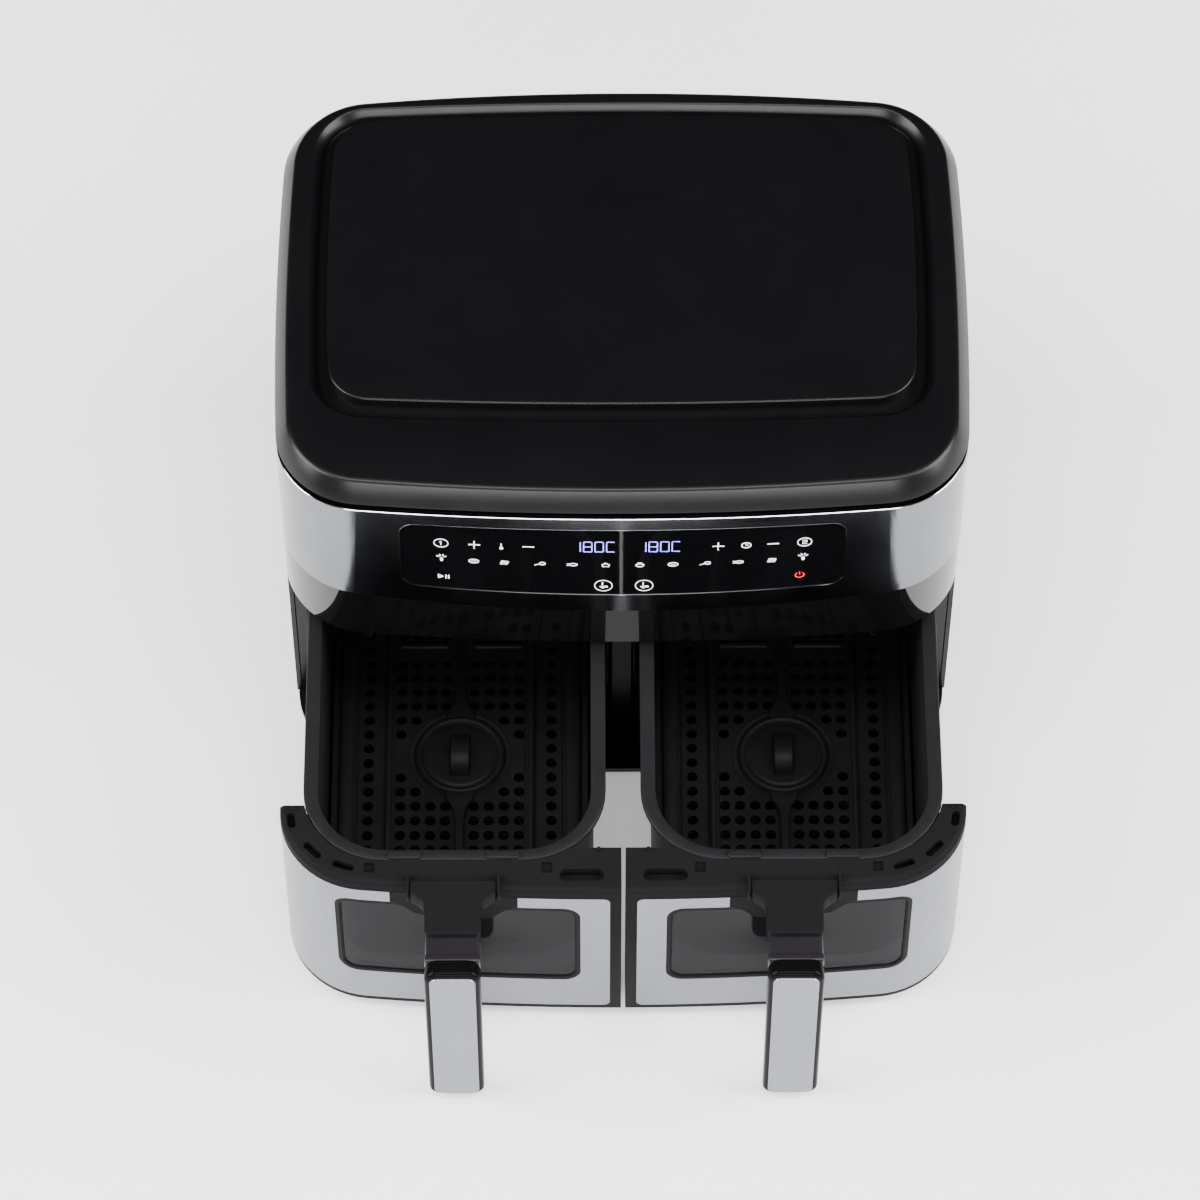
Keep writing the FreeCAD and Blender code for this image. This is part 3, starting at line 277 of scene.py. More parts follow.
def rounded(across, along, radius, steps=6, inset=0.0):
    """A rounded rectangle as pairs of numbers, all the way round."""
    left, right = across[0] + inset, across[1] - inset
    low, high = along[0] + inset, along[1] - inset
    r = max(radius - inset, 0.05)
    spots = []
    corners = ((right - r, low + r, -90), (right - r, high - r, 0),
               (left + r, high - r, 90), (left + r, low + r, 180))
    for x, y, begin in corners:
        for step in range(steps + 1):
            angle = math.radians(begin + 90.0 * step / steps)
            spots.append((x + r * math.cos(angle), y + r * math.sin(angle)))
    return spots


def dense(outline, longest):
    """The same outline with extra corners along its long runs."""
    spots = []
    for start, end in zip(outline, outline[1:] + outline[:1]):
        parts = max(1, math.ceil(math.dist(start, end) / longest))
        for part in range(parts):
            share = part / parts
            spots.append((start[0] + (end[0] - start[0]) * share, start[1] + (end[1] - start[1]) * share))
    return spots


def with_neighbours(outline):
    """Each corner between the one before it and the one after it."""
    return zip(outline[-1:] + outline[:-1], outline, outline[1:] + outline[:1])


def shrink(outline, inset):
    """The outline moved inwards; its corners run round to the left."""
    spots = []
    for before, spot, after in with_neighbours(outline):
        run = Vector((after[0] - before[0], after[1] - before[1])).normalized()
        spots.append((spot[0] - run.y * inset, spot[1] + run.x * inset))
    return spots


def softened(outline, reach, steps=4):
    """A polygon with each corner turned into a short curve; reach is how far the curve starts from it."""
    spots = []
    for before, spot, after in with_neighbours(outline):
        corner = Vector(spot)
        ends = []
        for other in (before, after):
            away = Vector(other) - corner
            ends.append(corner + away.normalized() * min(reach, away.length * 0.45))
        for step in range(steps + 1):
            share = step / steps
            curve = ends[0] * (1 - share) ** 2 + corner * 2 * share * (1 - share) + ends[1] * share ** 2
            spots.append((curve.x, curve.y))
    return spots


def level(outline, z):
    """An outline drawn in X and Y, at this height."""
    return [(x, y, z) for x, y in outline]


def upright(outline, y):
    """An outline drawn in X and Z, this far back."""
    return [(x, y, z) for x, z in outline]


def stacked(outline_at, stages):
    """Level outlines, one for each pair of a height and an inset."""
    return [level(outline_at(inset), z) for z, inset in stages]


def bar(name, across, along, levels, radius, steps, soft):
    """A rounded bar or sheet between two levels, with softened edges."""
    low, high = levels
    stages = ((low, soft), (low + soft * 0.3, soft * 0.3), (low + soft, 0.0),
              (high - soft, 0.0), (high - soft * 0.3, soft * 0.3), (high, soft), (high, soft * 1.8))
    return loft(name, stacked(lambda inset: rounded(across, along, radius, steps, inset), stages), 50.0)


def block(name, across, along, levels, radius, steps, turn=level):
    """A plain bar for cutting with."""
    return loft(name, [turn(rounded(across, along, radius, steps), z) for z in levels])


def around(middle, half):
    return (middle - half, middle + half)


def in_drawer(near, far):
    """Two places along the drawer's depth."""
    return (near + DRAWER_Y, far + DRAWER_Y)


def span(side, near, far):
    """Two distances from the middle, on the left or on the right, the lower one first."""
    return (near, far) if side > 0 else (-far, -near)


def front_y(x, nose):
    """How far forward the bulging front stands at x."""
    bend = bend_of(HALF_WIDTH - SIDE_BULGE, FRONT_BULGE + nose)
    depth = HALF_DEPTH + nose
    return -(depth - bend + math.sqrt(bend ** 2 - x ** 2))


def band_y(x, z):
    """The leaning steel band's face."""
    share = (BAND_TOP - z) / (BAND_TOP - NOSE_Z)
    low, high = front_y(x, NOSE), front_y(x, 0.0)
    return high + (low - high) * share + HOUSING_Y


# ---------------------------------------------------------------- finishes

def linear(code):
    """An sRGB hex colour as linear light."""
    values = [int(code[place:place + 2], 16) / 255.0 for place in (1, 3, 5)]
    light = [value / 12.92 if value <= 0.04045 else ((value + 0.055) / 1.055) ** 2.4 for value in values]
    return (*light, 1.0)


def add_node(material, kind, inputs=None, **settings):
    """Add a node, set it, and fill its sockets with values or with links from other sockets."""
    tree = material.node_tree
    node = tree.nodes.new(kind)
    for name, value in settings.items():
        setattr(node, name, value)
    for name, value in (inputs or {}).items():
        if isinstance(value, bpy.types.NodeSocket):
            tree.links.new(value, node.inputs[name])
        else:
            node.inputs[name].default_value = value
    return node


CLOUDINESS = 0.35  # how much of a surface's variation comes from the slow clouds


def finish_of(name, colours, rough, grain, relief, sockets=None, mottle=40.0):
    """A surface with its own grain.

    colours are the darker and the lighter of its shades, rough the smoothest and the dullest of its
    gloss, grain the size of one grain along X, Y and Z in millimetres, relief its depth in millimetres
    and mottle the size of the slow clouds in its gloss.
    """
    material = bpy.data.materials.new(name)
    material.use_nodes = True
    shader = material.node_tree.nodes["Principled BSDF"]
    place = add_node(material, "ShaderNodeTexCoord").outputs["Object"]
    fine_scale = [1.0 / (size * MM) for size in grain]
    fine_place = add_node(material, "ShaderNodeMapping", {"Vector": place, "Scale": fine_scale})
    fine = add_node(material, "ShaderNodeTexNoise",
                    {"Vector": fine_place.outputs["Vector"], "Scale": 1.0, "Detail": 4.0, "Roughness": 0.6})
    slow = add_node(material, "ShaderNodeTexNoise",
                    {"Vector": place, "Scale": 1.0 / (mottle * MM), "Detail": 3.0, "Roughness": 0.55})
    both = add_node(material, "ShaderNodeMix",
                    {0: CLOUDINESS, 2: fine.outputs["Fac"], 3: slow.outputs["Fac"]},
                    data_type="FLOAT")
    tint = add_node(material, "ShaderNodeMix",
                    {0: both.outputs[0], 6: linear(colours[0]), 7: linear(colours[1])}, data_type="RGBA")
    gloss = add_node(material, "ShaderNodeMapRange",
                     {"Value": both.outputs[0], "From Min": 0.3, "From Max": 0.7,
                      "To Min": rough[0], "To Max": rough[1]})
    bump = add_node(material, "ShaderNodeBump",
                    {"Height": fine.outputs["Fac"], "Strength": 1.0, "Distance": relief * MM})
    tree = material.node_tree
    tree.links.new(tint.outputs[2], shader.inputs["Base Color"])
    tree.links.new(gloss.outputs["Result"], shader.inputs["Roughness"])
    tree.links.new(bump.outputs["Normal"], shader.inputs["Normal"])
    for socket, value in (sockets or {}).items():
        shader.inputs[socket].default_value = value
    return material


LIGHT_CLOUD = 2.5  # millimetres across a brighter patch of a light guide


def glowing(name, colour, strength):
    """A lit symbol behind glass; its light is a little uneven, as a printed light guide's is."""
    material = finish_of(name, (colour, colour), (0.3, 0.5), (1.2, 1.2, 1.2), 0.01)
    shader = material.node_tree.nodes["Principled BSDF"]
    shader.inputs["Emission Color"].default_value = linear(colour)
    place = add_node(material, "ShaderNodeTexCoord").outputs["Object"]
    cloud = add_node(material, "ShaderNodeTexNoise", {"Vector": place, "Scale": 1.0 / (LIGHT_CLOUD * MM)})
    power = add_node(material, "ShaderNodeMapRange",
                     {"Value": cloud.outputs["Fac"], "To Min": strength * 0.8, "To Max": strength * 1.2})
    material.node_tree.links.new(power.outputs["Result"], shader.inputs["Emission Strength"])
    return material


METAL = {"Metallic": 1.0}
# brushed stainless steel: horizontal hair lines 0.3 mm apart that stretch the reflections sideways
STAINLESS = finish_of(
    "brushed_stainless", ("#62646a", "#85878c"), (0.22, 0.36), (60.0, 60.0, 0.34), 0.04, METAL)
# the front band is brushed finer and polished further, so it mirrors the dark pans below it
FINE_STAINLESS = finish_of(
    "fine_brushed_stainless", ("#66686c", "#7e8084"), (0.12, 0.21), (70.0, 70.0, 0.3), 0.008, METAL)
# polished chamfers of the steel and of the glass: a bright thread of light along their edges
POLISHED = finish_of(
    "polished_chamfer", ("#c4c6c9", "#dcdee0"), (0.08, 0.16), (4.0, 4.0, 4.0), 0.003, METAL)
# satin moulded ABS: a fine spark-eroded grain that keeps the top a deep soft black
SATIN_ABS = finish_of(
    "satin_moulded_abs", ("#040405", "#08080a"), (0.26, 0.36), (0.5, 0.5, 0.5), 0.012,
    {"IOR": 1.5, "Specular IOR Level": 0.22})
# polished piano-black ABS: mirror gloss with the faint ripple of a moulding
GLOSS_ABS = finish_of(
    "piano_black_abs", ("#050506", "#0a0a0b"), (0.03, 0.08), (6.0, 6.0, 6.0), 0.004,
    {"IOR": 1.5, "Specular IOR Level": 0.3})
# glossy black trim of the grips and the window frames, polished but not lacquered
GLOSS_TRIM = finish_of(
    "polished_black_trim", ("#050506", "#0a0a0b"), (0.05, 0.12), (6.0, 6.0, 6.0), 0.004, {"IOR": 1.1})
# satin black nylon of the handle's neck, a little lighter than the gloss beside it
NECK_NYLON = finish_of(
    "satin_neck_nylon", ("#141215", "#1c1a1d"), (0.2, 0.3), (0.8, 0.8, 0.8), 0.008, {"IOR": 1.3})
# dark grey moulded nylon of the drawer fronts: a slightly coarser, duller grain
NYLON = finish_of(
    "grey_moulded_nylon", ("#0f0f10", "#171718"), (0.34, 0.46), (0.8, 0.8, 0.8), 0.015, {"IOR": 1.06})
# sprayed ceramic non-stick coating on steel: pebbled, with small brighter specks
NONSTICK = finish_of(
    "sprayed_nonstick", ("#0c0c0d", "#1c1c1e"), (0.34, 0.5), (0.7, 0.7, 0.7), 0.06,
    {"IOR": 1.17}, mottle=15.0)
# printed tempered glass over the lights: deep black and flat, with the faintest wave
PRINTED_GLASS = finish_of(
    "printed_tempered_glass", ("#040405", "#070708"), (0.02, 0.05), (9.0, 9.0, 9.0), 0.003,
    {"IOR": 1.52, "Specular IOR Level": 0.3})
# smoked tempered glass of the drawer windows: dark but seen through
SMOKED_GLASS = finish_of(
    "smoked_tempered_glass", ("#2c2d30", "#35363a"), (0.02, 0.05), (12.0, 12.0, 12.0), 0.0004,
    {"IOR": 1.12, "Transmission Weight": 0.85})
# clear glass of the pan's own window and of the lamp lenses
CLEAR_GLASS = finish_of(
    "clear_borosilicate_glass", ("#b8bcbe", "#cdd2d4"), (0.02, 0.06), (9.0, 9.0, 9.0), 0.003,
    {"IOR": 1.47, "Transmission Weight": 0.95})
# galvanised sheet of the chambers, with its pale frosty spangle
GALVANISED = finish_of(
    "galvanised_sheet", ("#7d8183", "#a9adaf"), (0.3, 0.48), (7.0, 7.0, 7.0), 0.01, METAL)
# dark oxidised sheath of the heating element, dry and uneven
OXIDISED = finish_of(
    "oxidised_heater_sheath", ("#3a3532", "#5a534d"), (0.4, 0.6), (1.5, 1.5, 1.5), 0.03, METAL)
# bright nickel plate on the guard wires
NICKEL = finish_of(
    "nickel_plated_wire", ("#a79f92", "#c3bcae"), (0.15, 0.28), (1.5, 1.5, 1.5), 0.008, METAL)
# pressed aluminium fans: pale with a soft rolling grain
ALUMINIUM = finish_of(
    "pressed_aluminium", ("#a3a6a8", "#bec1c3"), (0.28, 0.42), (20.0, 0.6, 0.6), 0.008, METAL)
# ground steel shaft
GROUND_STEEL = finish_of(
    "ground_steel", ("#8f9193", "#b3b5b7"), (0.14, 0.24), (0.3, 0.3, 8.0), 0.004, METAL)
# zinc-plated steel brackets, motor cans and screws, with a cool yellowish bloom
ZINC = finish_of(
    "zinc_plated_steel", ("#8f8f88", "#b5b6ae"), (0.25, 0.42), (3.0, 3.0, 3.0), 0.008, METAL)
# solder-masked fibreglass board with its woven glass showing faintly
BOARD = finish_of(
    "solder_masked_board", ("#0d3b22", "#15532f"), (0.28, 0.42), (0.6, 0.6, 2.0), 0.01, {"IOR": 1.55})
# milky diffuser of the displays
DIFFUSER = finish_of(
    "diffuser_acrylic", ("#1b1d22", "#2a2c33"), (0.2, 0.35), (1.0, 1.0, 1.0), 0.005, {"IOR": 1.49})
# steatite lamp holders: off-white, faintly gritty
STEATITE = finish_of(
    "steatite_ceramic", ("#cfcabf", "#e2ded5"), (0.3, 0.48), (0.6, 0.6, 0.6), 0.02, {"IOR": 1.6})
# silicone rubber of the plate's feet, dull and dusty
SILICONE = finish_of(
    "silicone_rubber", ("#1d1d1f", "#2d2d30"), (0.55, 0.72), (0.6, 0.6, 0.6), 0.03, {"IOR": 1.41})
# black nylon of the switches, and the red plungers
SWITCH_NYLON = finish_of(
    "switch_nylon", ("#121214", "#1c1c1f"), (0.36, 0.5), (0.5, 0.5, 0.5), 0.02, {"IOR": 1.53})
PLUNGER_RED = finish_of(
    "acetal_plunger", ("#8c1414", "#b32020"), (0.25, 0.4), (0.6, 0.6, 0.6), 0.01, {"IOR": 1.48})
# the lit symbols: cool white keys, violet-white digits and one red key
KEY_LIGHT = glowing("lit_key_print", "#f4f4f8", 2.2)
DIGIT_LIGHT = glowing("lit_digit", "#8a7bff", 3.6)
POWER_LIGHT = glowing("lit_power_key", "#e01020", 2.4)
# pale studio table
TABLE = finish_of(
    "pale_painted_table", ("#e9e9ea", "#f1f1f2"), (0.55, 0.7), (3.0, 3.0, 3.0), 0.005,
    {"Emission Color": (1.0, 1.0, 1.0, 1.0), "Emission Strength": 0.35})

NODE_FINISHES = {
    "base_tray": SATIN_ABS, "base_screws": ZINC, "rubber_feet": SILICONE, "left_side_cover": SATIN_ABS,
    "right_side_cover": SATIN_ABS, "rear_cover": SATIN_ABS, "cord_gland": SWITCH_NYLON,
    "front_band": FINE_STAINLESS, "control_glass": PRINTED_GLASS,
    "brow_panel": GLOSS_ABS, "front_frame": SATIN_ABS, "divider": GALVANISED, "control_board": BOARD,
    "display_modules": DIFFUSER, "power_board": BOARD, "left_switch_plunger": PLUNGER_RED,
    "right_switch_plunger": PLUNGER_RED, "guide_rails": GALVANISED, "chamber_lamps": STEATITE,
    "lamp_lenses": CLEAR_GLASS, "temperature_probes": GROUND_STEEL, "drawer_switches": SWITCH_NYLON,
    "heater_guards": NICKEL, "motor_brackets": ZINC,
}
SIDE_FINISHES = {
    "chamber_liner": GALVANISED, "heater": OXIDISED, "fan_shaft": GROUND_STEEL, "hot_fan": ALUMINIUM,
    "cooling_fan": ALUMINIUM, "motor": ZINC, "inner_window": CLEAR_GLASS, "plate_feet": SILICONE,
}


def coat(piece, material):
    """Give every slot of a piece, or its only one, this finish."""
    if not piece.material_slots:
        piece.data.materials.append(material)
    for slot in piece.material_slots:
        slot.material = material


def coat_nodes():
    """Finish the CAD nodes that stay in view."""
    for name, material in NODE_FINISHES.items():
        coat(NODES[name], material)
    for side_name, _ in SIDES:
        for name, material in SIDE_FINISHES.items():
            coat(NODES[f"{side_name}_{name}"], material)


def fit(piece, body, material, slot, *nodes):
    """Finish a piece: its coat, the body it moves with and the CAD nodes it stands for; the slot argument is
    not used.
    """
    coat(piece, material)
    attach(piece, body)
    if nodes:
        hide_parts(*nodes)


# ---------------------------------------------------------------- housing

def groove_outline(grow):
    return bulged(174.7 + grow, 108.9 + grow, 3.2, 5.0, 30.0 + grow, 19.1 + HOUSING_Y)


def panel_outline(inset):
    return bulged(166.0 - inset, 100.7 - inset, 3.0, 4.6, 24.0 - inset, 21.3 + HOUSING_Y)


def make_top():
    """Moulded top: skirt in the shadow gap, wide bevel, flat brim and a groove round the panel."""
    outer = ((286.0, 9.0), (272.0, 9.0), (272.0, 4.0), (283.0, 4.0), (283.0, 0.5), (283.4, 0.1),
             (284.0, 0.35), (294.4, 6.2), (295.3, 7.1), (295.8, 8.2), (TOP_Z, 9.8))
    groove = ((TOP_Z, 2.6), (295.8, 1.9), (295.3, 1.4), (289.4, -2.6), (288.8, -3.2), (288.5, -4.2),
              (288.5, -5.6))
    top = loft("top_moulding", stacked(plan, outer) + stacked(groove_outline, groove), 40.0)
    fit(top, "housing", SATIN_ABS, "black_satin", "top_cover")
    stages = ((288.55, 0.4), (294.7, 0.0), (295.2, 0.15), (295.5, 0.6), (295.6, 1.4), (295.6, 3.0))
    panel = loft("top_panel_sheet", stacked(panel_outline, stages), 60.0)
    fit(panel, "housing", SATIN_ABS, "black_satin", "top_panel")


def make_edge_lines():
    """Polished chamfers: one along the top of the steel band, one round the control glass."""
    stages = ((276.6, 0.0), (277.1, 0.05), (277.4, 0.3), (277.4, 1.0), (276.6, 1.0))
    line = hoop_loft("band_chamfer", stacked(plan, stages), 20.0)
    slice_off(line, (0.0, SEAM_Y + HOUSING_Y, 0.0), (0.0, 1.0, 0.0))
    smooth(line, 20.0)
    fit(line, "housing", POLISHED, "steel")
    outside = [level(plan(-0.12, nose), z) for z, nose in ((NOSE_Z, NOSE), (BAND_TOP, 0.0))]
    inside = [level(plan(0.9, nose), z) for z, nose in ((BAND_TOP, 0.0), (NOSE_Z, NOSE))]
    rim = hoop_loft("glass_chamfer", outside + inside)
    edges = []
    for grow in (0.3, -0.15):
        outline = rounded((-124.0 - grow, 124.0 + grow), (212.0 - grow, 268.0 + grow), 8.7 + grow, 8)
        edges.append(loft("bar", [upright(outline, y + HOUSING_Y) for y in (-170.0, -100.0)]))
    carve(rim, edges[:1], "INTERSECT")
    carve(rim, edges[1:])
    smooth(rim, 20.0)
    fit(rim, "housing", POLISHED, "steel")


# ---------------------------------------------------------------- lit symbols on the control glass

def on_glass(piece):
    """Bend a flat piece, drawn in X and Z, onto the leaning curved glass."""
    for vertex in piece.data.vertices:
        x, z = vertex.co.x / MM, vertex.co.z / MM
        vertex.co.y += (band_y(x, z) + GLASS_SUNK - PRINT_PROUD) * MM


def dash(start, end, width):
    """A round-ended stroke between two points of the face."""
    length = math.dist(start, end)
    lean = math.atan2(end[1] - start[1], end[0] - start[0])
    outline = rounded((-width / 2.0, length + width / 2.0), (-width / 2.0, width / 2.0), width / 2.0, 2)
    leaning = [(start[0] + x * math.cos(lean) - z * math.sin(lean),
                start[1] + x * math.sin(lean) + z * math.cos(lean)) for x, z in outline]
    return loft("dash", [upright(leaning, 0.0), upright(leaning, PRINT_THICK)])


def hoop(centre, radii, width, steps=20):
    """A flat ring, oval when its two radii differ."""
    inner, outer = [oval(centre, radii[0] + grow, radii[1] + grow, steps)
                    for grow in (-width / 2.0, width / 2.0)]
    faces = ((outer, 0.0), (outer, PRINT_THICK), (inner, PRINT_THICK), (inner, 0.0))
    return hoop_loft("hoop", [upright(outline, y) for outline, y in faces])


def polyline(points, width):
    return [dash(start, end, width) for start, end in zip(points, points[1:])]


# which of the seven strokes each numeral lights, clockwise from the top, the middle one last
STROKES = {"1": "bc", "8": "abcdefg", "0": "abcdef", "C": "adef"}


def numeral(sign, x, z, width, height, thick):
    """A seven-stroke numeral; x and z are its lower left corner."""
    half = height / 2.0
    gap = thick * 0.75
    ends = {
        "a": ((x + gap, z + height), (x + width - gap, z + height)),
        "b": ((x + width, z + height - gap), (x + width, z + half + gap)),
        "c": ((x + width, z + half - gap), (x + width, z + gap)),
        "d": ((x + gap, z), (x + width - gap, z)),
        "e": ((x, z + half - gap), (x, z + gap)),
        "f": ((x, z + height - gap), (x, z + half + gap)),
        "g": ((x + gap, z + half), (x + width - gap, z + half)),
    }
    return [dash(*ends[stroke], thick) for stroke in STROKES[sign]]


def minus_mark(x, z):
    return [dash((x - 2.9, z), (x + 2.9, z), 0.75)]


def plus_mark(x, z):
    return minus_mark(x, z) + [dash((x, z - 2.9), (x, z + 2.9), 0.75)]


def numbered_ring(x, z, number):
    ring = hoop((x, z), (3.9, 3.6), 0.3, 32)
    if number == 1:
        return [ring, dash((x, z - 1.5), (x, z + 1.5), 0.5), dash((x - 0.8, z + 0.9), (x, z + 1.5), 0.35)]
    return [ring] + polyline([(x - 1.2, z + 1.6), (x + 1.2, z + 1.6), (x + 1.2, z), (x - 1.2, z),
                              (x - 1.2, z - 1.6), (x + 1.3, z - 1.6)], 0.28)


def thermometer_mark(x, z):
    return [dash((x, z - 1.2), (x, z + 1.9), 0.5), hoop((x, z - 1.8), (0.7, 0.7), 0.6, 12)]


def clock_mark(x, z):
    return [hoop((x, z), (2.6, 2.2), 0.4), dash((x, z), (x, z + 1.2), 0.4), dash((x, z), (x + 1.1, z), 0.4)]


def start_mark(x, z):
    """A triangle and two bars."""
    triangle = polyline([(x, z + 1.4), (x + 2.4, z), (x, z - 1.4), (x, z + 1.4)], 0.5)
    return triangle + [dash((x + reach, z - 1.3), (x + reach, z + 1.3), 0.6) for reach in (4.1, 5.7)]


def lamp_mark(x, z):
    """A lamp with four rays."""
    marks = [dash((x, z - 2.2), (x, z - 0.8), 1.5)]
    for lean in (-62, -21, 21, 62):
        turn = math.radians(lean)
        near, far = [(x + reach * math.sin(turn), z + reach * math.cos(turn)) for reach in (1.6, 2.9)]
        marks.append(dash(near, far, 0.45))
    return marks


def hand_mark(x, z):
    """A ring round a pointing hand: finger, palm and thumb."""
    return [hoop((x, z), (4.9, 4.6), 0.3, 36),
            dash((x - 0.5, z - 0.4), (x - 0.5, z + 2.4), 0.8),
            dash((x + 0.4, z - 1.3), (x + 1.7, z - 1.0), 1.6),
            dash((x - 1.9, z - 0.9), (x - 0.6, z - 2.2), 0.6)]


def food_mark(x, z, kind):
    """Small plain pictures drawn in thin strokes: steak, bread, leg, fish, cake, pot."""
    if kind == "steak":
        return [hoop((x, z), (2.7, 1.5), 0.4), dash((x - 1.0, z), (x + 1.0, z), 0.35)]
    if kind == "bread":
        outline = [(x - 2.2, z - 1.4), (x + 1.6, z - 1.4), (x + 2.3, z + 1.0), (x - 1.4, z + 1.5),
                   (x - 2.2, z - 1.4)]
        return polyline(outline, 0.4) + [dash((x - 1.0, z), (x + 1.0, z), 0.8)]
    if kind == "leg":
        return [hoop((x + 1.2, z + 0.3), (1.6, 1.1), 0.4), dash((x - 3.0, z - 1.2), (x - 0.4, z - 0.2), 0.45)]
    if kind == "fish":
        tail = polyline([(x - 3.0, z + 0.9), (x - 1.8, z), (x - 3.0, z - 0.9)], 0.4)
        return [hoop((x + 0.4, z), (2.2, 1.0), 0.4)] + tail
    if kind == "cake":
        outline = [(x - 1.7, z - 1.5), (x + 1.7, z - 1.5), (x + 2.1, z + 0.1), (x, z + 1.5),
                   (x - 2.1, z + 0.1), (x - 1.7, z - 1.5)]
        return polyline(outline, 0.4)
    return [hoop((x, z - 0.3), (2.2, 1.3), 0.4), dash((x - 1.0, z + 1.5), (x + 1.0, z + 1.5), 0.45)]


def light_up(name, strokes, material):
    """Join the strokes, lay them on the glass and light them."""
    piece = join(name, strokes)
    on_glass(piece)
    fit(piece, "housing", material, "display")


def make_symbols():
    """Rows of lit keys and two numeric displays, printed behind the glass."""
    high, pictures, low = 252.5, 238.8, 222.3
    keys = numbered_ring(-101.0, high, 1) + plus_mark(-82.5, high) + minus_mark(-52.5, high)
    keys += numbered_ring(101.0, high, 2) + plus_mark(53.0, high) + minus_mark(83.5, high)
    keys += thermometer_mark(-67.5, high) + clock_mark(68.5, high)
    keys += lamp_mark(-101.0, pictures + 0.6) + lamp_mark(100.5, pictures + 0.6)
    left_row = ((-83.0, "steak"), (-66.0, "bread"), (-46.0, "leg"), (-28.0, "fish"), (-9.5, "cake"))
    right_row = ((9.5, "pot"), (28.0, "steak"), (46.0, "leg"), (64.5, "fish"), (83.0, "bread"))
    for x, kind in left_row + right_row:
        keys += food_mark(x, pictures - 0.8, kind)
    keys += start_mark(-103.0, low) + hand_mark(-10.8, 219.9) + hand_mark(12.0, 219.9)
    light_up("lit_keys", keys, KEY_LIGHT)

    digits = []
    for start in (-28.3, 8.1):
        for number, sign in enumerate("180C"):
            digits += numeral(sign, start + number * 6.4, 249.2, 4.6, 8.4, 0.7)
    light_up("lit_digits", digits, DIGIT_LIGHT)

    x, z = 99.0, low + 0.6
    ring = [(x + 2.5 * math.sin(math.radians(turn)), z + 2.2 * math.cos(math.radians(turn)))
            for turn in range(35, 326, 29)]
    light_up("lit_power_key", polyline(ring, 0.55) + [dash((x, z + 0.5), (x, z + 2.8), 0.55)], POWER_LIGHT)


# ---------------------------------------------------------------- drawers

def pan_ring(side, z, inset_x, inset_y, radius):
    across = span(side, 9.7 + inset_x, 179.9 - inset_x)
    along = in_drawer(-123.7 + inset_y, 126.3 - inset_y)
    return level(rounded(across, along, radius, 12), z)


def floor_bend(side, floor, bend, inset_x, inset_y, radius):
    """Outlines from a flat floor up round its edge to the upright wall."""
    rings = []
    for step in range(6):
        turn = math.radians(90.0 * step / 5)
        inset = bend * (1.0 - math.sin(turn))
        rise = bend * (1.0 - math.cos(turn))
        rings.append(pan_ring(side, floor + rise, inset_x + inset, inset_y + inset, radius - inset))
    return rings


def make_pan(side_name, side):
    """Deep-drawn pan: round floor corners, upright walls and a flat rim with a rolled edge."""
    inside = floor_bend(side, 22.0, 8.0, 8.6, 7.3, 38.4)
    outside = floor_bend(side, 20.0, 9.0, 7.0, 5.7, 40.0)
    rim = ((143.4, 8.6, 7.3, 38.4), (144.5, 8.2, 6.9, 38.8), (LEDGE_TOP, 7.2, 5.9, 39.8),
           (LEDGE_TOP, 1.4, 1.4, 44.6), (144.7, 0.5, 0.5, 45.5), (144.0, 0.05, 0.05, 46.0),
           (142.3, 0.05, 0.05, 46.0), (142.0, 0.5, 0.5, 45.5), (142.0, 6.2, 4.9, 40.8),
           (141.0, 7.0, 5.7, 40.0))
    rings = inside + [pan_ring(side, *row) for row in rim] + outside[::-1]
    pan = loft(f"{side_name}_coated_pan", rings, 40.0)
    face = -118.0 + DRAWER_Y
    view = block("view", span(side, 62.0, 128.0), (52.0, 118.0), (face - 2.0, face + 4.0), 8.0, 6, upright)
    carve(pan, [view])
    smooth(pan, 40.0)
    hooks = []
    for sign in (-1, 1):
        across = around(HANDLE_X * side + 27.5 * sign, 9.2)
        hooks.append(bar("hook", across, in_drawer(-123.2, -118.6), (143.8, 146.6), 1.4, 4, 0.7))
    pan = join(f"{side_name}_coated_pan", [pan] + hooks)
    fit(pan, f"{side_name}_drawer", NONSTICK, "nonstick", f"{side_name}_pan")


def window_outline(side, grow):
    return rounded(span(side, 24.5 - grow, 162.0 + grow), (43.7 - grow, 125.4 + grow), 10.0 + grow, 8)


def through(outline):
    """A cutting bar through the drawer front, drawn in X and Z."""
    return loft("bar", [upright(outline, -330.0 + HOUSING_Y), upright(outline, -225.0 + HOUSING_Y)])


def keep_within(piece, outline):
    carve(piece, [through(outline)], "INTERSECT")


def cut_out(piece, outline):
    carve(piece, [through(outline)])


def trim_front(piece, side, inner):
    """Keep one side of the middle, and only what lies ahead of the seam."""
    slice_off(piece, (side * inner, 0.0, 0.0), (-side, 0.0, 0.0))
    slice_off(piece, (0.0, SEAM_Y + DRAWER_Y, 0.0), (0.0, 1.0, 0.0))


def front_shell(name, side, levels, inset, wall):
    """A wall that follows the drawer's bulging front."""
    low, high = levels
    outside, inside = drawer_plan(inset), drawer_plan(inset + wall)
    rings = [level(outside, low), level(outside, high), level(inside, high), level(inside, low)]
    shell = hoop_loft(name, rings)
    trim_front(shell, side, 5.0)
    return shell


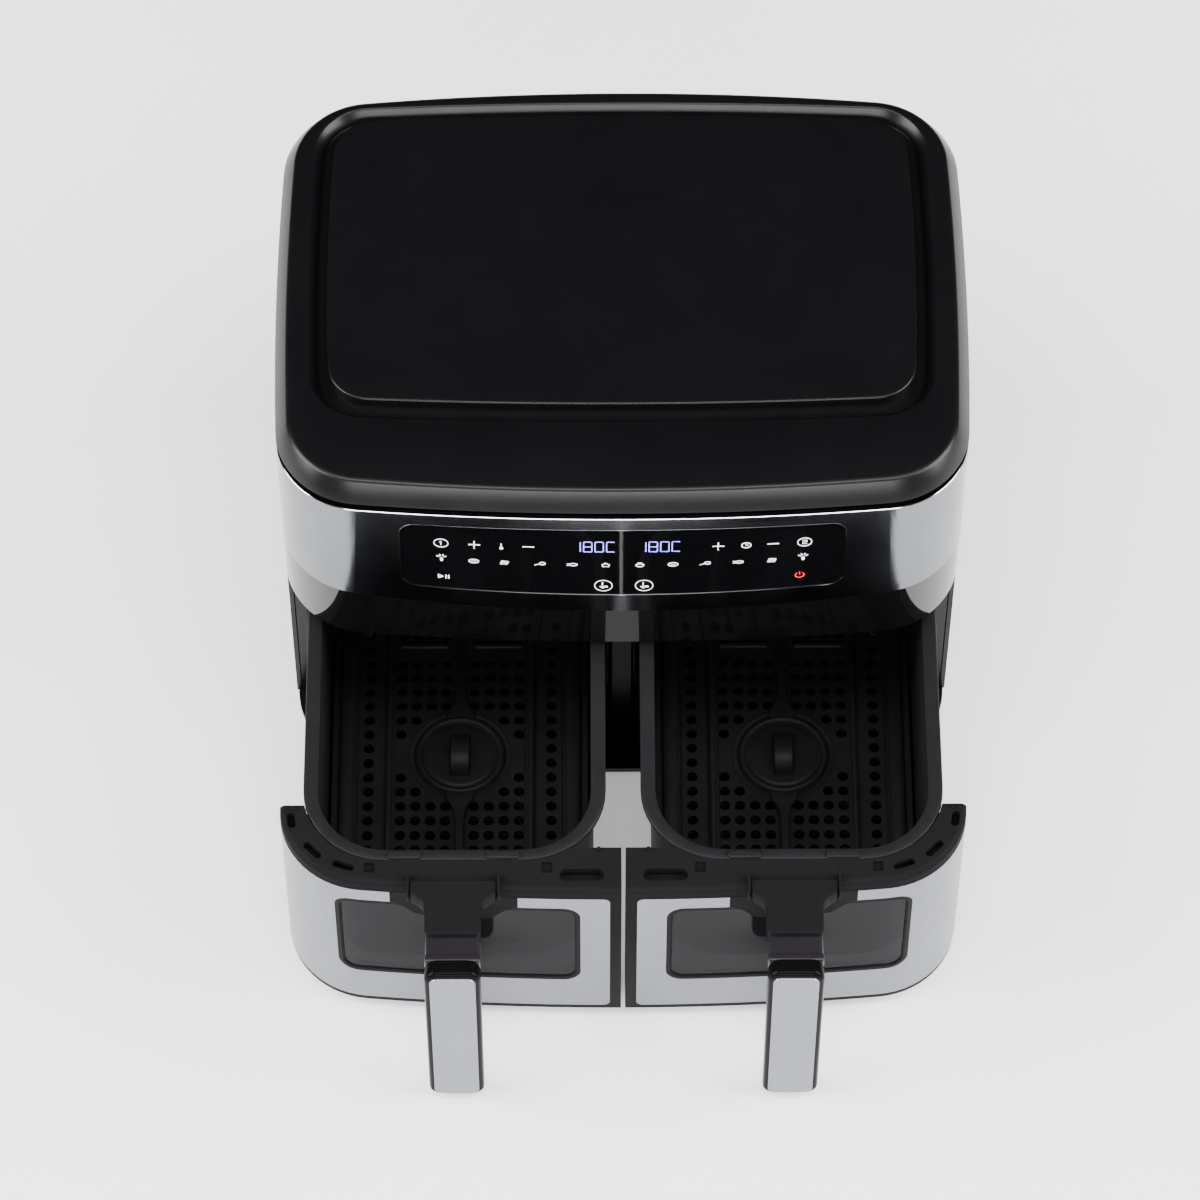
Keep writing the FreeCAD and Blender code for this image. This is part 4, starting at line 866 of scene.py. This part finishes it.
def ledge_cutters(side):
    """A long slot near the middle, two square catches and three slots round the corner."""
    above = LEDGE_TOP + 5.0
    long_slot = rounded(span(side, 10.8, 36.0), in_drawer(-137.2, -129.6), 3.75, 6)
    cutters = [loft("slot", [level(long_slot, SLOT_FLOOR), level(long_slot, above)])]
    for near, far, back, front in ((39.8, 45.8, -125.2, -132.0), (139.0, 144.8, -125.2, -131.4)):
        square = rounded(span(side, near, far), in_drawer(front, back), 0.7, 3)
        cutters.append(loft("slot", [level(square, 142.8), level(square, above)]))
    corner_slots = ((156.5, -127.0, 20.0, 13.0), (173.8, -117.0, 46.0, 13.0), (186.2, -97.6, 82.0, 10.0))
    for x, y, lean, length in corner_slots:
        turn = math.radians(lean * side)
        flat = rounded((-length / 2.0, length / 2.0), (-2.2, 2.2), 2.1, 6)
        leaning = [(side * x + a * math.cos(turn) - b * math.sin(turn),
                    y + DRAWER_Y + a * math.sin(turn) + b * math.cos(turn)) for a, b in flat]
        cutters.append(loft("slot", [level(leaning, SLOT_FLOOR), level(leaning, above)]))
    return cutters


def make_carrier(side_name, side):
    """Moulded carrier: a hollow front with a slotted ledge on top and a round well for the pan."""
    stages = ((8.6, 1.2), (8.9, 0.6), (9.6, 0.3), (142.3, 0.3), (142.8, 0.45), (144.5, 2.1), (144.85, 2.6),
              (LEDGE_TOP, 3.3), (LEDGE_TOP, 4.4))
    carrier = loft(f"{side_name}_moulded_carrier", stacked(drawer_plan, stages))
    trim_front(carrier, side, 1.2)
    hollow = loft("hollow", stacked(drawer_plan, ((11.0, 5.0), (LEDGE_UNDER, 5.0))))
    slice_off(hollow, (side * 3.8, 0.0, 0.0), (-side, 0.0, 0.0))
    carve(carrier, [hollow])
    well = rounded(span(side, 9.4, 180.2), in_drawer(-124.0, 60.0), 46.3, 14)
    carve(carrier, [loft("well", [level(well, -1.0), level(well, 160.0)])])
    carve(carrier, [block("back", span(side, 0.0, 60.0), in_drawer(-115.9, 40.0), (-1.0, 160.0), 0.5, 2)])
    cut_out(carrier, window_outline(side, -3.0))
    carve(carrier, ledge_cutters(side))
    smooth(carrier)
    pegs = [bar("peg", around(13.8 * side, 1.0), in_drawer(-118.4, -116.2), (144.0, 147.2), 0.9, 3, 0.4),
            bar("peg", around(185.0 * side, 1.2), in_drawer(-91.6, -88.6), (144.0, 146.4), 0.9, 3, 0.4)]
    carrier = join(f"{side_name}_moulded_carrier", [carrier] + pegs)
    fit(carrier, f"{side_name}_drawer", NYLON, "grey_moulding", f"{side_name}_drawer_carrier")


def make_skin(side_name, side):
    """Brushed steel skin with its window and the notch for the handle."""
    skin = front_shell(f"{side_name}_steel_skin", side, (10.0, 140.0), 0.02, 1.3)
    keep_within(skin, dense(rounded(span(side, 7.6, 260.0), (SKIN_LOW, SKIN_TOP), 4.0, 6), 40.0))
    cut_out(skin, window_outline(side, 0.25))
    cut_out(skin, rounded(span(side, 59.2, 130.8), (119.0, 160.0), 1.2, 4))
    smooth(skin)
    fit(skin, f"{side_name}_drawer", STAINLESS, "steel", f"{side_name}_drawer_skin")


def make_window(side_name, side):
    """Black gasket and the smoked pane inside it."""
    drawer = f"{side_name}_drawer"
    gasket = front_shell(f"{side_name}_window_gasket", side, (30.0, 136.0), 0.15, 3.4)
    keep_within(gasket, window_outline(side, 0.1))
    cut_out(gasket, window_outline(side, -2.0))
    smooth(gasket)
    fit(gasket, drawer, GLOSS_TRIM, "black_gloss")
    pane = front_shell(f"{side_name}_smoked_pane", side, (30.0, 136.0), 0.9, 2.4)
    keep_within(pane, window_outline(side, -1.8))
    smooth(pane)
    fit(pane, drawer, SMOKED_GLASS, "dark_glass", f"{side_name}_window_glass")


def mirrored(half, middle):
    """A closed outline from its half, whose first numbers are counted from the middle."""
    return [(middle - x, y) for x, y in half] + [(middle + x, y) for x, y in reversed(half)]


def make_saddle(side_name, side):
    """Saddle moulded into the notch behind the handle."""
    saddle = front_shell(f"{side_name}_handle_saddle", side, (100.0, 142.0), 0.05, 2.4)
    half = [(35.6, 136.9), (35.6, 125.3), (29.0, 122.5), (22.0, 114.0), (15.0, 112.0)]
    keep_within(saddle, softened(mirrored(half, HANDLE_X * side), 4.0))
    smooth(saddle)
    fit(saddle, f"{side_name}_drawer", NYLON, "grey_moulding")


def make_bracket(side_name, side):
    """Handle bracket with curved shoulders, its stem and a thin post on each side."""
    middle = HANDLE_X * side
    half = ((24.6, -138.0), (24.6, -143.6), (23.6, -146.6), (19.6, -149.2), (16.6, -152.0),
            (GRIP_HALF, -156.0), (GRIP_HALF, -172.4))
    outline = softened(mirrored([(x, y + DRAWER_Y) for x, y in half], middle), 3.2, 5)
    stages = ((136.6, 0.8), (137.2, 0.2), (146.9, 0.0), (147.6, 0.25), (148.0, 0.8))
    bracket = loft("bracket", stacked(lambda inset: shrink(outline, inset), stages), 25.0)
    posts = []
    for sign in (-1, 1):
        across = around(middle + 25.3 * sign, 0.8)
        posts.append(bar("post", across, in_drawer(-146.5, -134.0), (139.0, 149.4), 0.7, 3, 0.4))
    stem = bar("stem", around(middle, GRIP_HALF), in_drawer(-172.4, -147.0), (131.0, 140.0), 1.5, 4, 1.0)
    bracket = join(f"{side_name}_shouldered_bracket", [bracket, stem] + posts)
    shade(bracket, 25.0)
    fit(bracket, f"{side_name}_drawer", NYLON, "grey_moulding", f"{side_name}_handle_bracket")


def hanging(middle, half, levels, radius, steps, stages):
    """Upright outlines, one for each pair of a place along the drawer and an inset."""
    return [upright(rounded(around(middle, half), levels, radius, steps, inset), y + DRAWER_Y)
            for y, inset in stages]


def make_grip(side_name, side):
    """Satin neck, glossy hanging grip and its brushed steel inlay."""
    drawer = f"{side_name}_drawer"
    middle = HANDLE_X * side
    stages = ((-185.6, 4.0), (-186.2, 2.2), (-187.6, 0.8), (-189.6, 0.0), (-195.2, 0.0), (-196.6, 0.5),
              (-197.3, 1.4), (-197.4, 2.4), (-197.4, 3.6))
    rings = hanging(middle, GRIP_HALF, (GRIP_LOW, GRIP_TOP), 7.5, 8, stages)
    grip = loft(f"{side_name}_glossy_grip", rings, 50.0)
    fit(grip, drawer, GLOSS_TRIM, "black_gloss", f"{side_name}_handle_grip")
    neck = bar("neck", around(middle, 15.2), in_drawer(-188.0, -165.0), (131.5, 143.6), 2.0, 4, 2.0)
    collar = bar("collar", around(middle, 15.5), in_drawer(-187.4, -183.2), (131.0, 144.3), 1.0, 4, 0.8)
    neck = join(f"{side_name}_satin_neck", [neck, collar])
    shade(neck, 50.0)
    fit(neck, drawer, NECK_NYLON, "grey_moulding")
    stages = ((-197.0, 0.0), (-198.1, 0.0), (-198.4, 0.15), (-198.5, 0.5), (-198.5, 1.2))
    inlay = loft(f"{side_name}_steel_inlay", hanging(middle, 12.8, (8.0, 141.8), 4.5, 8, stages), 40.0)
    fit(inlay, drawer, STAINLESS, "steel", f"{side_name}_handle_inlay")


# ---------------------------------------------------------------- crisper plates

def hole_places():
    """Centres of the plate's holes from the middle of its ring."""
    columns = [8.3 + 8.8 * number for number in range(4)]
    places = []
    for ahead, rows in ((-1, 11), (1, 10)):
        for row in range(rows):
            if ahead > 0 and row == BEAD_ROW:
                continue
            # the first two rows leave out the holes that would fall on the ring
            for x in columns[3 - row:] if row < 2 else columns:
                places += [(x * sign, ahead * (14.7 + row * 9.8)) for sign in (-1, 1)]
        for row in range(rows + 1):
            y = ahead * (4.9 + row * 9.8)
            if abs(y) < 100.0:
                places += [(53.6 * sign, y) for sign in (-1, 1)]
    return places


def punch_holes(plate):
    """All the round holes, cut with copies of one tool."""
    first = block("hole", around(0.0, 3.2), around(0.0, 3.2), (30.0, 40.0), 3.18, 3)
    tools = [copy_of(first, "hole", PLATE_X + x, PLATE_Y + y) for x, y in hole_places()]
    bpy.data.objects.remove(first)
    carve(plate, tools)


def press_grooves(plate):
    """Long grooves beside the beads; the middle pair stops short of the ring."""
    whole = ((-116.0, 100.0),)
    broken = ((-116.0, -29.0), (29.0, 72.0))
    tools = []
    for sign in (-1, 1):
        for x, half, runs in ((4.8, 1.2, broken), (38.6, 1.0, whole), (45.2, 1.0, whole), (60.6, 1.0, whole)):
            for near, far in runs:
                across, along = around(PLATE_X + sign * x, half), (PLATE_Y + near, PLATE_Y + far)
                tools.append(block("groove", across, along, (34.5, 36.5), 0.9, 3))
    carve(plate, tools)


def rib(across, along, height, radius):
    """A low rounded bead raised from the plate."""
    top = PLATE_TOP + height
    stages = ((PLATE_TOP - 0.4, 0.0), (PLATE_TOP + height * 0.45, height * 0.12),
              (top - height * 0.2, height * 0.45), (top, height * 1.1))
    limit = min(across[1] - across[0], along[1] - along[0]) / 2.0 - 0.1
    rings = stacked(lambda inset: rounded(across, along, radius, 5, min(inset, limit)), stages)
    return loft("bead", rings, 60.0)


def flared_rib(sign, reach):
    """The centre bead, ahead of the ring or behind it, that widens where it meets the ring."""
    half = [(3.0, reach), (3.0, 44.0), (3.5, 39.0), (5.2, 34.0), (8.5, 29.8), (8.5, 24.0)]
    outline = [(PLATE_X + x, PLATE_Y + sign * y) for x, y in half]
    outline += [(PLATE_X - x, PLATE_Y + sign * y) for x, y in reversed(half)]
    outline = softened(outline[::-1] if sign > 0 else outline, 2.0)
    stages = ((PLATE_TOP - 0.4, 0.0), (PLATE_TOP + 0.9, 0.1), (PLATE_TOP + 1.5, 0.5), (PLATE_TOP + 1.7, 1.1))
    return loft("flare", stacked(lambda inset: shrink(outline, inset), stages), 60.0)


def make_beads():
    """Raised beads of the plate, and the round boss in its middle."""
    beads = []
    for sign in (-1, 1):
        beads.append(rib(around(PLATE_X + sign * 66.5, 4.6), (PLATE_Y - 108.0, PLATE_Y + 92.0), 2.2, 4.4))
        beads.append(rib(around(PLATE_X + sign * 41.8, 2.0), (PLATE_Y - 119.0, PLATE_Y + 103.0), 1.6, 1.9))
        beads.append(rib(around(PLATE_X + sign * 22.0, 15.0), around(PLATE_Y + 76.0, 2.2), 1.6, 2.1))
    beads += [flared_rib(-1, 119.0), flared_rib(1, 103.0)]
    boss = ((30.6, 35.2), (30.0, 35.9), (29.2, 36.0), (28.6, 35.7), (27.2, 35.6), (26.6, 36.4), (25.6, 37.6),
            (24.4, 38.1), (23.2, 37.8), (22.3, 36.8), (21.8, 36.0), (20.6, 35.9), (20.0, 36.3), (19.0, 36.4))
    rings = [level(oval((PLATE_X, PLATE_Y), radius, radius, 48), z) for radius, z in boss]
    return beads + [loft("boss", rings, 60.0)]


def make_lift_strap():
    """A flat strap bowed over the boss, flatter towards its ends, to lift the plate by."""
    rings = []
    for step in range(17):
        turn = math.radians(-62.0 + 124.0 * step / 16)
        ring = []
        for x, lift in rounded((-5.8, 5.8), (-1.1, 1.1), 1.05, 3):
            reach = 17.0 - 0.55 * abs(turn) ** 2 + lift
            ring.append((PLATE_X + x, PLATE_Y + reach * math.sin(turn), 26.0 + reach * math.cos(turn)))
        rings.append(ring)
    return loft("left_lift_strap", rings, 50.0)


def make_plates():
    """Perforated crisper plates: pressed beads, a round boss with a lifting strap, and many holes."""
    across, along = around(PLATE_X, 75.2), (PLATE_Y - 124.6, PLATE_Y + 108.2)
    stages = ((33.0, 0.7), (33.4, 0.1), (35.0, 0.0), (35.4, 0.3), (PLATE_TOP, 1.0), (PLATE_TOP, 1.6))
    rings = stacked(lambda inset: rounded(across, along, 37.0, 12, inset), stages)
    plate = loft("left_plate_pressing", rings, 50.0)
    punch_holes(plate)
    press_grooves(plate)
    smooth(plate, 40.0)
    plate = join("left_plate_pressing", [plate] + make_beads())
    shade(plate, 40.0)
    strap = make_lift_strap()
    # both copies are made before any piece is fitted, so that neither carries the other's node
    sets = {"left": (plate, strap),
            "right": (copy_of(plate, "right_plate_pressing", 2.0 * RING_X),
                      copy_of(strap, "right_lift_strap", 2.0 * RING_X))}
    for side_name, (pressing, lifter) in sets.items():
        fit(pressing, f"{side_name}_plate", NONSTICK, "nonstick", f"{side_name}_crisper_plate")
        fit(lifter, f"{side_name}_plate", NONSTICK, "nonstick", f"{side_name}_lift_tab")


# ---------------------------------------------------------------- camera, light and table

def make_table():
    clear_selection()
    bpy.ops.mesh.primitive_plane_add(size=8.0)
    table = bpy.context.object
    table.name = "table"
    coat(table, TABLE)


def add_softbox(name, place, aim, size, power):
    data = bpy.data.lights.new(name, "AREA")
    data.shape = "RECTANGLE"
    data.size, data.size_y = size
    data.energy = power
    softbox = bpy.data.objects.new(name, data)
    bpy.context.scene.collection.objects.link(softbox)
    softbox.location = place
    softbox.rotation_euler = (Vector(aim) - Vector(place)).to_track_quat("-Z", "Y").to_euler()


def make_studio():
    world = bpy.data.worlds.new("studio")
    bpy.context.scene.world = world
    world.use_nodes = True
    background = world.node_tree.nodes["Background"]
    background.inputs["Color"].default_value = (1.0, 1.0, 1.0, 1.0)
    background.inputs["Strength"].default_value = 0.1
    add_softbox("left_softbox", (-2.2, -0.4, 1.5), (0.0, 0.0, 0.1), (1.6, 2.2), 170.0)
    add_softbox("right_softbox", (2.2, -0.4, 1.5), (0.0, 0.0, 0.1), (1.6, 2.2), 170.0)
    add_softbox("front_softbox", (0.0, -2.6, 1.6), (0.0, 0.0, 0.0), (2.4, 1.2), 130.0)
    add_softbox("overhead_softbox", (0.0, -0.6, 3.4), (0.0, -0.2, 0.0), (2.6, 1.2), 110.0)


def make_camera():
    """A long lens that looks steeply down on the open drawers."""
    data = bpy.data.cameras.new("camera")
    data.lens = 168.0
    data.sensor_width = 36.0
    camera = bpy.data.objects.new("camera", data)
    bpy.context.scene.collection.objects.link(camera)
    camera.location = (-0.0186, -1.73315, 2.8573)
    look_down = 57.5
    camera.rotation_euler = (math.radians(90.0 - look_down), 0.0, math.radians(-0.2))
    bpy.context.scene.camera = camera


coat_nodes()
make_top()
make_symbols()
make_edge_lines()
for side_name, side in SIDES:
    make_pan(side_name, side)
    make_carrier(side_name, side)
    make_skin(side_name, side)
    make_window(side_name, side)
    make_saddle(side_name, side)
    make_bracket(side_name, side)
    make_grip(side_name, side)
make_plates()
make_table()
make_studio()
make_camera()
